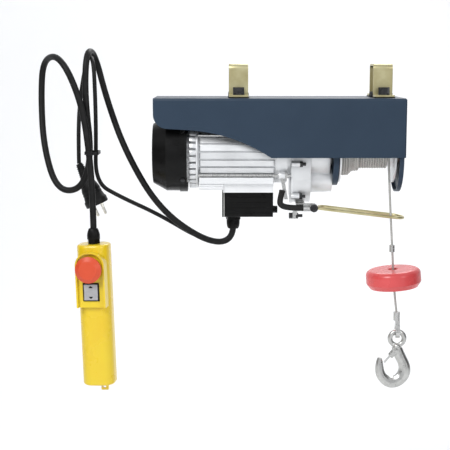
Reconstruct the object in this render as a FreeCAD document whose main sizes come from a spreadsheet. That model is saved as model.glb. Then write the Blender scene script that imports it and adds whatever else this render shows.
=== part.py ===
import FreeCAD, Part
import Sketcher
import math
import os
import re

# Electric wire rope hoist that hangs under a beam on two clamps. Millimetres, +Z up.
# The origin is on top of the cover, midway between the clamps, in the beam's middle plane.
# The motor and the drum share one axis along X. The drum end is at +X, the front is at -Y.

doc = FreeCAD.newDocument("hoist")
dims = doc.addObject("Spreadsheet::Sheet", "dims")

DRIVING = {
    # beam clamps
    "clamp_at": 112, "beam_half": 20.5, "pad_top": 8.5, "saddle_top": 51.8, "saddle_wide": 30,
    "strap_thick": 3, "foot_out": 50, "foot_low": 1.6, "clamp_bolt_at": 37,
    # cover and carrier frame
    "cover_left": -243, "cover_right": 145, "cover_half": 62, "cover_low": -91, "sheet_thick": 2,
    "plate_top": -2.3, "plate_low": -5.3, "mid_leg_left": 35.5, "mid_leg_right": 44, "mid_leg_round": 48,
    "end_leg_left": 136, "end_leg_right": 142.7, "end_leg_round": 58, "leg_thick": 2.5, "leg_drop": 2.5,
    # motor, gearbox and drum axis, and the layshaft below it
    "axis_up": -88.5, "gear_module": 1.25, "motor_teeth": 9, "lay_wheel_teeth": 54,
    "lay_pinion_teeth": 11, "drum_wheel_teeth": 52, "centre_distance": 39.375,
    "gear_clear": 0.05,
    # motor
    "fan_cover_left": -248, "fan_cover_right": -192, "fan_cover_round": 59, "lip_left": -204,
    "lip_round": 60.5, "rear_shield_left": -190.5, "rear_shield_right": -175, "rear_shield_round": 54.5,
    "housing_right": -54, "housing_round": 46, "fin_round": 50, "fin_thick": 9, "fin_count": 26,
    "front_shield_right": -30, "front_shield_round": 46.5, "tie_out": 42.5, "tie_drop": 31.1,
    "tie_round": 2.1,
    # gear case and gear cover
    "case_left": -30, "case_right": 0.5, "case_round": 38, "gear_cover_right": 31,
    "gear_cover_round": 36.5, "boss_round": 22.7, "boss_right": 35.3, "case_bolt_out": 43,
    "case_bolt_up": -102,
    # drum and rope
    "drum_left": 45.5, "drum_right": 133, "drum_core": 21.2, "drum_flange": 46, "flange_thick": 2.5,
    "rope_round": 1.75, "layer_round": 24.8, "lump_round": 36.2, "winding_round": 23, "shaft_round": 8,
    # terminal base and switch box
    "base_left": -173, "base_right": -58, "base_half": 48, "base_top": -122.8, "base_step": -132,
    "base_low": -146.8, "ribbed_right": -136, "box_left": -134, "box_right": -57.5, "box_half": 30,
    "box_low": -186.9, "knob_up": -178, "lid_left": -137.5, "gland_at": -120, "gland_low": -208.6,
    # limit lever
    "pivot_at": 5.5, "pivot_up": -170.5, "wire_round": 2.25, "loop_left": 15, "loop_right": 147,
    "loop_front": -42, "loop_back": -4, "loop_drop": 15.8, "lever_front": -40, "sleeve_round": 4.7,
    "bracket_front": -35,
    # rope fall, stopper and hook
    "ferrule_top": -232, "ferrule_low": -243, "ferrule_at": 131.5, "disc_up": -285, "disc_at": 134.9,
    "disc_round": 43.5, "disc_thick": 29, "disc_hole": 7.5, "disc_tilt": 5, "collar_top": -300.2,
    "collar_low": -305, "collar_at": 136.3, "lower_ferrule_top": -340, "lower_ferrule_low": -354,
    "lower_ferrule_at": 141.3, "eye_at": 142.7, "eye_up": -383.6, "eye_ring": 11.2, "eye_wire": 4,
    "latch_back": -3, "latch_low": 20,
    # pendant handset
    "handset_x": -338, "handset_y": -45, "handset_z": -226, "handset_turn": -8, "handset_lean": -1.8,
    "handset_wide": 51, "handset_deep": 45, "handset_round": 18, "handset_tall": 224, "hood_wide": 46,
    "hood_top": -9, "hood_low": -96, "hood_proud": 12, "hood_floor": 7, "hood_wall": 2.6, "stop_up": -35,
    "stop_round": 20.5, "rocker_up": -71.5, "rocker_wide": 21.4, "rocker_tall": 24.5,
    "rocker_frame_wide": 25.6, "rocker_frame_tall": 28.6,
    # cables and mains plug
    "pendant_round": 5, "mains_round": 3.25, "plug_x": -366, "plug_y": 10, "plug_z": -106,
    "plug_lean": 23.5, "plug_long": 71.3, "plug_face": 18.5, "pin_round": 2.4, "pin_long": 19,
    "pin_apart": 19, "pin_turn": 40,
}
for row, (name, value) in enumerate(DRIVING.items(), 1):
    dims.set(f"A{row}", name)
    dims.set(f"B{row}", str(value))
    dims.setAlias(f"B{row}", name)
doc.recompute()

nodes = []
TURN = {
    "X": FreeCAD.Rotation(FreeCAD.Vector(0, 1, 0), 90),
    "Y": FreeCAD.Rotation(FreeCAD.Vector(1, 0, 0), -90),
    "Z": FreeCAD.Rotation(),
}


def dim(name):
    """A driving dimension, for shapes that are worked out in code."""
    return float(dims.get(name))


def cells(expression):
    """An expression with every driving dimension read from the sheet."""
    return re.sub("[a-z_]+", lambda word: ("dims." if word[0] in DRIVING else "") + word[0], str(expression))


def keep(thing, label):
    """Marks an object as a sub-part of the hoist and gives it its name."""
    thing.Label = label
    nodes.append(thing)
    return thing


def move(thing, x, y, z):
    for side, expression in zip("xyz", (x, y, z)):
        thing.setExpression(f"Placement.Base.{side}", cells(expression))
    return thing


def box(x, y, z):
    """A box from three (low, high) pairs of expressions."""
    thing = doc.addObject("Part::Box", "block")
    for side, (low, high) in zip(("Length", "Width", "Height"), (x, y, z)):
        thing.setExpression(side, cells(f"({high}) - ({low})"))
    return move(thing, x[0], y[0], z[0])


def rod(axis, radius, span, a, b, kind="Part::Cylinder", end_radius=None):
    """A cylinder or cone along an axis, over span, at the other two coordinates a and b."""
    thing = doc.addObject(kind, "rod")
    if kind == "Part::Cone":
        thing.setExpression("Radius1", cells(radius))
        thing.setExpression("Radius2", cells(end_radius))
    else:
        thing.setExpression("Radius", cells(radius))
    thing.setExpression("Height", cells(f"({span[1]}) - ({span[0]})"))
    thing.Placement = FreeCAD.Placement(FreeCAD.Vector(), TURN[axis])
    place = {"X": (span[0], a, b), "Y": (a, span[0], b), "Z": (a, b, span[0])}[axis]
    return move(thing, *place)


def cone(axis, radius, end_radius, span, a, b):
    return rod(axis, radius, span, a, b, "Part::Cone", end_radius)


def join(*shapes):
    thing = doc.addObject("Part::MultiFuse", "joined")
    thing.Shapes = list(shapes)
    thing.Refine = True
    return thing


def group(*shapes):
    """Separate solids that share one name."""
    thing = doc.addObject("Part::Compound", "set")
    thing.Links = list(shapes)
    return thing


def cut(base, *tools):
    thing = doc.addObject("Part::Cut", "cut")
    thing.Base = base
    thing.Tool = tools[0] if len(tools) == 1 else join(*tools)
    return thing


def rounded(base, radius, chosen):
    """The base with its chosen edges rounded; chosen tells of an edge by its middle and direction."""
    doc.recompute()
    edges = []
    for index, edge in enumerate(base.Shape.Edges, 1):
        middle = edge.valueAt((edge.FirstParameter + edge.LastParameter) / 2)
        if chosen(middle, edge.tangentAt(edge.FirstParameter), edge):
            edges.append((index, radius, radius))
    thing = doc.addObject("Part::Fillet", "rounded")
    thing.Base = base
    thing.Edges = edges
    return thing


def turned(label, points, up="axis_up", back="0"):
    """A body turned about an axis along X, from (along, radius) points of expressions."""
    body = doc.addObject("PartDesign::Body", label)
    sketch = outline(body, "XZ_Plane", points)
    lathe = body.newObject("PartDesign::Revolution", "lathe")
    lathe.Profile = sketch
    lathe.ReferenceAxis = (sketch, ["H_Axis"])
    lathe.Angle = 360
    return move(body, "0", back, up)


def turned_upright(label, points):
    """A body turned about its own Z axis, from (radius, height) points of expressions."""
    body = doc.addObject("PartDesign::Body", label)
    sketch = outline(body, "XZ_Plane", points)
    lathe = body.newObject("PartDesign::Revolution", "lathe")
    lathe.Profile = sketch
    lathe.ReferenceAxis = (sketch, ["V_Axis"])
    lathe.Angle = 360
    return body


def outline(body, role, points, offset="0"):
    """A closed sketch. A point is (x, y), or (x, y, radius) where an arc leads to it; a radius
    above zero turns left."""
    sketch = body.newObject("Sketcher::SketchObject", "outline")
    plane = [f for f in body.Origin.OriginFeatures if f.Role == role][0]
    sketch.AttachmentSupport = (plane, [""])
    sketch.MapMode = "FlatFace"
    sketch.setExpression("AttachmentOffset.Base.z", cells(offset))
    places = [
        FreeCAD.Vector(*(float(sketch.evalExpression(cells(v))) for v in p[:2]), 0) for p in points
    ]
    first, last = [], []
    for i, point in enumerate(points):
        start, end = places[i - 1], places[i]
        if len(point) == 2:
            sketch.addGeometry(Part.LineSegment(start, end), False)
            first.append(1)
            last.append(2)
            continue
        radius = float(sketch.evalExpression(cells(point[2])))
        half = (end - start) * 0.5
        side = FreeCAD.Vector(-half.y, half.x, 0).normalize() * math.copysign(1, radius)
        centre = start + half + side * math.sqrt(max(radius**2 - half.Length**2, 0))
        edge = Part.Circle(centre, FreeCAD.Vector(0, 0, 1), abs(radius))
        a, b = (start, end) if radius > 0 else (end, start)
        sketch.addGeometry(Part.ArcOfCircle(edge, edge.parameter(a), edge.parameter(b)), False)
        first.append(1 if radius > 0 else 2)
        last.append(2 if radius > 0 else 1)
        number = sketch.addConstraint(Sketcher.Constraint("Radius", i, abs(radius)))
        sketch.setExpression(f"Constraints[{number}]", cells(f"abs({point[2]})"))
    for i, point in enumerate(points):
        following = (i + 1) % len(points)
        sketch.addConstraint(Sketcher.Constraint("Coincident", i, last[i], following, first[following]))
        for kind, value, expression in (
            ("DistanceX", places[i].x, point[0]),
            ("DistanceY", places[i].y, point[1]),
        ):
            number = sketch.addConstraint(Sketcher.Constraint(kind, -1, 1, i, last[i], value))
            sketch.setExpression(f"Constraints[{number}]", cells(expression))
    return sketch


def padded(body, sketch, length, both_ways=False):
    pad = body.newObject("PartDesign::Pad", "pad")
    pad.Profile = sketch
    pad.setExpression("Length", cells(length))
    pad.Midplane = both_ways
    return pad


def pocketed(body, sketch, length, both_ways=False, backwards=False):
    doc.recompute()
    before = body.Shape.Volume
    pocket = body.newObject("PartDesign::Pocket", "pocket")
    pocket.Profile = sketch
    pocket.setExpression("Length", cells(length))
    pocket.Midplane = both_ways
    pocket.Reversed = backwards
    doc.recompute()
    if body.Shape.Volume >= before - 1:
        raise RuntimeError(f"a pocket in {body.Label} cuts nothing")
    return pocket


def plate(label, role, points, thick, offset="0"):
    """A flat piece from an outline, with its thickness along the plane's normal."""
    body = doc.addObject("PartDesign::Body", label)
    padded(body, outline(body, role, points, offset), thick)
    return body


def copies(thing, *places):
    """Separate copies of a piece, each moved by (x, y, z)."""
    made = []
    for x, y, z in places:
        link = doc.addObject("Part::Compound", "copy")
        link.Links = [thing]
        made.append(move(link, x, y, z))
    return made


def hexagon(axis, across, span, a, b):
    """A hexagonal head or nut, across its flats."""
    thing = doc.addObject("Part::Prism", "hexagon")
    thing.Polygon = 6
    thing.setExpression("Circumradius", cells(f"({across}) / sqrt(3)"))
    thing.setExpression("Height", cells(f"({span[1]}) - ({span[0]})"))
    thing.Placement = FreeCAD.Placement(FreeCAD.Vector(), TURN[axis])
    place = {"X": (span[0], a, b), "Y": (a, span[0], b), "Z": (a, b, span[0])}[axis]
    return move(thing, *place)


# --- Beam clamps --------------------------------------------------------------------------


def clamps():
    """Two strap saddles over the beam, rubber pads under it, and two bolts with washers each."""
    strap, half, top = "strap_thick", "beam_half", "saddle_top"
    foot = "foot_low + strap_thick"
    saddle = plate("saddle", "YZ_Plane", [
        ("-foot_out", "foot_low"), (f"-{half} - {strap}", "foot_low"), (f"-{half}", "foot_low"),
        (f"-{half}", f"{top} - {strap} - 4"), (f"-{half} + 4", f"{top} - {strap}", -4),
        (f"{half} - 4", f"{top} - {strap}"), (half, f"{top} - {strap} - 4", -4),
        (half, "foot_low"), ("foot_out", "foot_low"), ("foot_out", foot), (f"{half} + {strap}", foot),
        (f"{half} + {strap}", f"{top} - 7"), (f"{half} + {strap} - 7", top, 7),
        (f"-{half} - {strap} + 7", top), (f"-{half} - {strap}", f"{top} - 7", 7),
        (f"-{half} - {strap}", foot), ("-foot_out", foot),
    ], "saddle_wide", "-saddle_wide / 2")
    holes = [rod("Z", "5.3", ("0", "10"), "0", y) for y in ("clamp_bolt_at", "-clamp_bolt_at")]
    drilled = cut(saddle, *holes)
    sides = [("clamp_at", "0", "0"), ("-clamp_at", "0", "0")]
    keep(group(*copies(drilled, *sides)), "clamp_saddles")

    block = box(("-16", "16"), ("-beam_half + 0.5", "beam_half - 0.5"), ("0", "pad_top"))
    sheets = box(("-16", "16"), ("-foot_out", "foot_out"), ("0", "foot_low"))
    ends = [rod("Z", "5.3", ("-1", "10"), "0", y) for y in ("clamp_bolt_at", "-clamp_bolt_at")]
    keep(group(*copies(cut(join(block, sheets), *ends), *sides)), "clamp_pads")

    stem = rod("Z", "4.9", ("plate_low - 9", "foot_low + 6"), "0", "0")
    washer = rod("Z", "9", ("foot_low + 3", "foot_low + 5.4"), "0", "0")
    head = hexagon("Z", "15", ("foot_low + 5.4", "foot_low + 14.6"), "0", "0")
    nut = hexagon("Z", "17", ("plate_low - 8", "plate_low"), "0", "0")
    bolt = join(stem, washer, head, nut)
    spots = [(x, y, "0") for x in ("clamp_at", "-clamp_at") for y in ("clamp_bolt_at", "-clamp_bolt_at")]
    keep(group(*copies(bolt, *spots)), "clamp_bolts")


def bolt_holes(low, high):
    return [
        rod("Z", "5.3", (low, high), x, y)
        for x in ("clamp_at", "-clamp_at")
        for y in ("clamp_bolt_at", "-clamp_bolt_at")
    ]


# --- Cover and carrier frame --------------------------------------------------------------


def cover():
    """A folded steel cover with deep skirts over the drum and curved ones over the motor."""
    body = doc.addObject("PartDesign::Body", "cover_shell")
    side = [
        ("cover_left", "0"), ("cover_left", "-24.5"), ("cover_left + 22", "-46.5", 22),
        ("-187", "-48.5"), ("-125", "-60.5", -260), ("-62", "cover_low", -260),
        ("cover_right", "cover_low"), ("cover_right", "0"),
    ]
    padded(body, outline(body, "XZ_Plane", side), "cover_half * 2", True)
    inside = [
        ("cover_left - 5", "-sheet_thick"), ("cover_left - 5", "cover_low - 5"),
        ("cover_right - sheet_thick", "cover_low - 5"), ("cover_right - sheet_thick", "-sheet_thick"),
    ]
    pocketed(body, outline(body, "XZ_Plane", inside), "(cover_half - sheet_thick) * 2", True)
    half = dim("cover_half")

    def folds(middle, way, edge):
        along_top = abs(abs(middle.y) - half) < 0.1 and abs(middle.z) < 0.1
        corner = abs(abs(middle.y) - half) < 0.1 and abs(middle.x - dim("cover_right")) < 0.1
        crest = abs(middle.x - dim("cover_right")) < 0.1 and abs(middle.z) < 0.1
        return (along_top and abs(way.x) > 0.9) or (corner and abs(way.z) > 0.9) or crest

    soft = rounded(body, 3.5, folds)
    keep(cut(soft, *bolt_holes("-5", "1")), "cover")


def leg(left, right, round_, web_left, web_right, hole):
    """A pan-shaped leg plate with a rounded foot below the drum axis, and a hole for the shaft."""
    low = "axis_up - leg_drop"

    def shape(shrink):
        return [
            (f"{round_} - {shrink}", "plate_low - 2"), (f"-{round_} + {shrink}", "plate_low - 2"),
            (f"-{round_} + {shrink}", low), ("0", f"{low} - {round_} + {shrink}", f"{round_} - {shrink}"),
            (f"{round_} - {shrink}", low, f"{round_} - {shrink}"),
        ]

    solid = plate("leg", "YZ_Plane", shape("0"), f"({right}) - ({left})", left)
    inner = plate("leg_inside", "YZ_Plane", shape("leg_thick"), f"({web_right}) - ({web_left})", web_left)
    return cut(solid, inner, rod("X", hole, (f"{left} - 1", f"{right} + 1"), "0", "axis_up"))


def carrier():
    """A top plate with a middle leg and an end leg, welded into one frame."""
    mid_leg = leg("mid_leg_left", "mid_leg_right", "mid_leg_round", "mid_leg_left + leg_thick",
                  "mid_leg_right + 1", "14")
    end_leg = leg("end_leg_left", "end_leg_right", "end_leg_round", "end_leg_left - 1",
                  "end_leg_right - leg_thick", "shaft_round + 0.8")
    top = box(("-140", "end_leg_right"), ("-56", "56"), ("plate_low", "plate_top"))
    webs = [
        box((x, f"{x} + leg_thick"), (f"-{half}", half), ("plate_low - 3", "plate_low + 1"))
        for x, half in (("mid_leg_left", "mid_leg_round"), ("end_leg_right - leg_thick", "56"))
    ]
    keep(cut(join(top, mid_leg, end_leg, *webs), *bolt_holes("-7", "0")), "carrier_frame")


# --- Motor --------------------------------------------------------------------------------


def cover_screws():
    """The four screws in the fan cover's lip."""
    heads = []
    for y, z in ((1, 0.78), (1, -0.78), (-1, 0.78), (-1, -0.78)):
        screw = doc.addObject("Part::Cylinder", "screw")
        screw.Radius = 3.2
        screw.Height = 2.6
        outward = FreeCAD.Vector(0, y, z).normalize()
        screw.Placement = FreeCAD.Placement(
            FreeCAD.Vector(dim("fan_cover_right") - 6.5, 0, dim("axis_up")) + outward * dim("lip_round"),
            FreeCAD.Rotation(FreeCAD.Vector(0, 0, 1), outward),
        )
        heads.append(screw)
    return heads


def motor():
    """Fan cover, end shields, finned housing, tie rods, and the stator inside."""
    shell = turned("fan_cover_shell", [
        ("fan_cover_left + 2", "0.1"), ("fan_cover_left + 2", "47"), ("-224.5", "fan_cover_round"),
        ("lip_left", "fan_cover_round"), ("lip_left", "lip_round"), ("fan_cover_right", "lip_round"),
        ("fan_cover_right", "lip_round - 2.5"), ("lip_left + 2", "lip_round - 2.5"),
        ("lip_left - 1", "fan_cover_round - 2.5"), ("-225.5", "fan_cover_round - 2.5"),
        ("fan_cover_left + 4.5", "45"), ("fan_cover_left + 4.5", "0.1"),
    ])
    slots = [
        box(("fan_cover_left", "fan_cover_left + 6"), (f"-{half}", f"{half}"),
            (f"axis_up + {up} - 1.8", f"axis_up + {up} + 1.8"))
        for up, half in ((0, 36), (8, 35), (-8, 35), (16, 31), (-16, 31), (24, 25), (-24, 25), (32, 14), (-32, 14))
    ]
    keep(cut(shell, *slots), "fan_cover")
    keep(turned("rear_shield", [
        ("rear_shield_left - 5", "12.1"), ("rear_shield_left - 5", "lip_round - 2.6"),
        ("fan_cover_right", "lip_round - 2.6"), ("fan_cover_right", "rear_shield_round"),
        ("rear_shield_right", "rear_shield_round"), ("rear_shield_right", "12.1"),
    ]), "rear_shield")

    housing = doc.addObject("PartDesign::Body", "housing")
    turned_in(housing, [
        ("rear_shield_right", "42"), ("rear_shield_right", "housing_round"),
        ("housing_right", "housing_round"), ("housing_right", "42"),
    ])
    fin = outline(housing, "XY_Plane", [
        ("rear_shield_right + 1", "housing_round - 1"), ("housing_right - 1", "housing_round - 1"),
        ("housing_right - 4", "fin_round", 6), ("rear_shield_right + 4", "fin_round"),
    ])
    fin_pad = padded(housing, fin, "fin_thick", True)
    pattern = housing.newObject("PartDesign::PolarPattern", "fins")
    pattern.Originals = [fin_pad]
    pattern.Axis = ([f for f in housing.Origin.OriginFeatures if f.Role == "X_Axis"][0], [""])
    pattern.Angle = 360
    pattern.setExpression("Occurrences", cells("fin_count"))
    housing.Tip = pattern
    keep(move(housing, "0", "0", "axis_up"), "motor_housing")

    shield = turned("front_cap", [
        ("housing_right", "12.1"), ("housing_right", "front_shield_round"),
        ("front_shield_right - 6", "front_shield_round"), ("front_shield_right - 6", "40"),
        ("front_shield_right", "40"), ("front_shield_right", "12.1"),
    ])
    lugs = []
    for y in ("tie_out", "-tie_out"):
        for z in ("axis_up - tie_drop", "axis_up + tie_drop"):
            lugs.append(rod("X", "6", ("-50", "-40"), y, z))
            lugs.append(box(("-50", "-40"), (f"{y} - 5 - abs({y})/({y}) * 5", f"{y} + 5 - abs({y})/({y}) * 5"),
                            (f"{z} - 5", f"{z} + 5")))
    bores = [
        rod("X", "tie_round", ("-60", "-20"), y, z)
        for y in ("tie_out", "-tie_out") for z in ("axis_up - tie_drop", "axis_up + tie_drop")
    ]
    keep(cut(join(shield, *lugs), *bores), "front_shield")

    tie = join(
        rod("X", "tie_round", ("rear_shield_right", "-31"), "0", "0"),
        hexagon("X", "8", ("-40", "-35.5"), "0", "0"),
    )
    keep(group(*copies(tie, *[
        ("0", y, z) for y in ("tie_out", "-tie_out") for z in ("axis_up - tie_drop", "axis_up + tie_drop")
    ])), "tie_rods")

    keep(turned("stator_core", [("-150", "25"), ("-150", "42"), ("-78", "42"), ("-78", "25")]), "stator_core")
    windings = [
        turned("winding", [(left, "27"), (left, "39"), (right, "39"), (right, "27")])
        for left, right in (("-166", "-150"), ("-78", "-62"))
    ]
    keep(group(*windings), "stator_windings")


def turned_in(body, points):
    """A lathe feature in a body of its own origin, about its X axis."""
    sketch = outline(body, "XZ_Plane", points)
    lathe = body.newObject("PartDesign::Revolution", "lathe")
    lathe.Profile = sketch
    lathe.ReferenceAxis = (sketch, ["H_Axis"])
    lathe.Angle = 360
    return lathe


def bearings():
    """Ball bearings as plain rings: two on the motor shaft, two on the layshaft, two on the drum shaft."""
    rings = []
    for left, bore, outer, up in (
        ("-189", "5", "12.1", "axis_up"), ("-47", "5", "12.1", "axis_up"),
        ("-29", "4", "9", "axis_up - centre_distance"), ("27.8", "4", "9", "axis_up - centre_distance"),
        ("27", "shaft_round", "14", "axis_up"), ("134.2", "shaft_round", "16", "axis_up"),
    ):
        rings.append(turned("bearing", [
            (left, f"{bore} + gear_clear"), (left, outer), (f"{left} + 6", outer), (f"{left} + 6", f"{bore} + gear_clear"),
        ], up))
    keep(group(*rings), "bearings")


def gear_shape(teeth, middle, left, right, bore, up, tooth_first):
    """A spur gear along X with short thin teeth, about a line at the height up. tooth_first
    is the direction in degrees, from +Y towards +Z, that a tooth points in."""
    module = dim("gear_module")
    pitch_round = teeth * module / 2
    tip, root = pitch_round + 0.8 * module, pitch_round - 1.15 * module
    half_root, half_pitch, half_tip = 0.62 * module, 0.70 * module, 0.38 * module
    points = []
    for tooth in range(teeth):
        turn = math.radians(tooth_first) + 2 * math.pi * tooth / teeth
        profile = (
            (root, -half_root if teeth < 15 else -1.05 * module), (pitch_round, -half_pitch), (tip, -half_tip),
            (tip, half_tip), (pitch_round, half_pitch), (root, half_root if teeth < 15 else 1.05 * module),
        )
        for radius, aside in profile:
            angle = turn + math.asin(aside / radius)
            points.append(FreeCAD.Vector(left, radius * math.cos(angle), radius * math.sin(angle)))
    face = Part.Face(Part.makePolygon(points + points[:1]))
    gear = face.extrude(FreeCAD.Vector(right - left, 0, 0))
    if bore:
        hole = Part.makeCylinder(bore, right - left, FreeCAD.Vector(left, 0, 0), FreeCAD.Vector(1, 0, 0))
        gear = gear.cut(hole)
    gear.translate(FreeCAD.Vector(0, middle, up))
    return gear


def feature(shape, label):
    thing = doc.addObject("Part::Feature", label)
    thing.Shape = shape
    return thing


def gear_train():
    """Two reductions: motor pinion to layshaft wheel, and layshaft pinion to drum wheel."""
    up, low = dim("axis_up"), dim("axis_up") - dim("centre_distance")
    motor_pinion = gear_shape(int(dim("motor_teeth")), 0, -24, -9, 0, up, -90)
    wheel_teeth, drum_teeth = int(dim("lay_wheel_teeth")), int(dim("drum_wheel_teeth"))
    lay_pinion = gear_shape(int(dim("lay_pinion_teeth")), 0, 5, 24, 0, low, 90)
    shaft = turned("motor_spindle", [
        ("-240", "0.01"), ("-240", "5"), ("-150", "5"), ("-150", "7"), ("-78", "7"), ("-78", "5"),
        ("-24", "5"), ("-24", "0.01"),
    ])
    keep(join(shaft, feature(motor_pinion, "motor_pinion")), "motor_shaft")
    keep(turned("rotor_core", [("-150", "7"), ("-150", "24.4"), ("-78", "24.4"), ("-78", "7")]), "rotor_core")
    hub = turned("fan_hub", [("-238", "5"), ("-238", "11"), ("-222", "11"), ("-222", "5")])
    blades = []
    for turn in range(0, 360, 45):
        blade = box(("-236", "-224"), ("9", "44"), ("-0.9", "0.9"))
        spun = doc.addObject("Part::Compound", "blade")
        spun.Links = [blade]
        spun.Placement = FreeCAD.Placement(
            FreeCAD.Vector(0, 0, dim("axis_up")), FreeCAD.Rotation(FreeCAD.Vector(1, 0, 0), turn)
        )
        blades.append(spun)
    keep(join(hub, *blades), "cooling_fan")
    keep(turned("brake_disc", [("-206", "5"), ("-206", "30"), ("-202", "30"), ("-202", "5")]), "brake_disc")
    keep(turned("brake_magnet", [("-201.4", "8"), ("-201.4", "32"), ("rear_shield_left - 5", "32"),
                                   ("rear_shield_left - 5", "8")]), "brake_magnet")

    keep(join(
        turned("lay_spindle", [("-29", "0.01"), ("-29", "4"), ("-23", "4"), ("-23", "6"), ("5", "6"),
                               ("5", "0.01")], "axis_up - centre_distance"),
        feature(lay_pinion, "lay_pinion"),
        turned("lay_stub", [("24", "0.01"), ("24", "4"), ("33.5", "4"), ("33.5", "0.01")], "axis_up - centre_distance"),
    ), "layshaft")
    wheel = gear_shape(wheel_teeth, 0, -22, -12, 6, low, 90 + 180 / wheel_teeth)
    keep(feature(wheel, "lay_wheel"), "layshaft_wheel")
    drum_wheel = gear_shape(drum_teeth, 0, 7, 22, dim("shaft_round"), up, -90 + 180 / drum_teeth)
    keep(feature(drum_wheel, "drum_wheel"), "drum_wheel")


def gearbox():
    """A split casting: the case around the layshaft wheel, and the cover around the drum wheel."""
    low = "axis_up - centre_distance"
    def case_outline(grow):
        side = f"case_round + {grow}"
        return [
            (side, "axis_up + 38"), (f"-({side})", "axis_up + 38"), (f"-({side})", low),
            ("0", f"{low} - ({side})", side), (side, low, side),
        ]

    flange = plate("case_flange", "YZ_Plane", case_outline("1.5"), "4", "case_left")
    block = plate("case_block", "YZ_Plane", case_outline("0"), "case_right - case_left", "case_left")
    hanger = box(("case_left + 4", "case_right - 2"), ("-30", "30"), ("axis_up + 38", "plate_low"))
    low_out, low_up = "case_round * 0.92", f"{low} - case_round * 0.66"
    sites = [(f"{side} * case_bolt_out", "case_bolt_up") for side in (1, -1)]
    sites += [(f"{side} * ({low_out})", low_up) for side in (1, -1)]
    lugs = [rod("X", "4.6", ("case_left", "case_left + 13"), y, z) for y, z in sites]
    hollow = rod("X", "case_round - 2.2", ("-23.5", "-3"), "0", low)
    shaft_room = rod("X", "12.1", ("-31", "-3"), "0", "axis_up")
    lay_seat = rod("X", "9", ("-29", "-23"), "0", low)
    lay_pass = rod("X", "10", ("-5", "case_right + 1"), "0", low)
    keep(cut(join(flange, block, hanger, *lugs), hollow, shaft_room, lay_seat, lay_pass), "gear_case")

    drum_side = rod("X", "gear_cover_round", ("case_right", "gear_cover_right"), "0", "axis_up")
    boss = cone("X", "boss_round", "boss_round - 1.2", ("case_right", "boss_right"), "0", low)
    hub = rod("X", "20", ("gear_cover_right - 1", "boss_right"), "0", "axis_up")
    wheel_room = rod("X", "gear_cover_round - 2", ("case_right + 1", "26"), "0", "axis_up")
    pinion_room = rod("X", "12", ("case_right - 1", "27.5"), "0", low)
    lay_bore = rod("X", "9", ("27", "33.8"), "0", low)
    drum_bore = rod("X", "14", ("25", "33"), "0", "axis_up")
    mouth = rod("X", "shaft_round + 0.8", ("30", "40"), "0", "axis_up")
    keep(cut(join(drum_side, boss, hub), wheel_room, pinion_room, lay_bore, drum_bore, mouth), "gear_cover")

    bolts_out, bolts_low = "case_left + 13", "case_left + 22.5"
    heads = [
        join(hexagon("X", "8", (bolts_out, f"{bolts_out} + 4.5"), y, z), rod("X", "2.5", (bolts_out, bolts_low), y, z))
        for y, z in sites
    ]
    keep(group(*heads, *cover_screws()), "housing_screws")


# --- Drum and rope ------------------------------------------------------------------------


def drum():
    """A rope drum on its shaft, with the wound rope as one turned solid."""
    inner = "drum_left + flange_thick"
    outer = "drum_right - flange_thick"
    keep(turned("drum_shaft", [("5.5", "0.01"), ("5.5", "shaft_round"), ("142.5", "shaft_round"), ("142.5", "0.01")]),
         "drum_shaft")
    keep(turned("drum", [
        ("drum_left", "shaft_round"), ("drum_left", "drum_flange"), (inner, "drum_flange"),
        (inner, "drum_core"), (outer, "drum_core"), (outer, "drum_flange"), ("drum_right", "drum_flange"),
        ("drum_right", "shaft_round"),
    ]), "drum")
    keep(turned("rope_windings", [
        (inner, "drum_core"), (inner, "32"), ("52", "lump_round"), ("60", "lump_round - 1"),
        ("68", "layer_round + 2.5"), ("71", "layer_round + 3.6"), ("77", "layer_round + 3.6"),
        ("79.5", "layer_round"),
        (outer, "layer_round"), (outer, "drum_core"),
    ]), "rope_windings")


# The rope's own line in millimetres, from the drum's front to the lower ferrule: it isn't quite
# straight, because the hook alone is too light to pull the set out of it.
FALL_LINE = [(123.5, -23, -101.7), (127, -23, -165), (131.4, -23, -231.8)]
TAIL_LINE = [(131.7, -23, -243.2), (134.9, -23, -285), (137.4, -23, -315), (140.9, -23, -339.7)]


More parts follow.
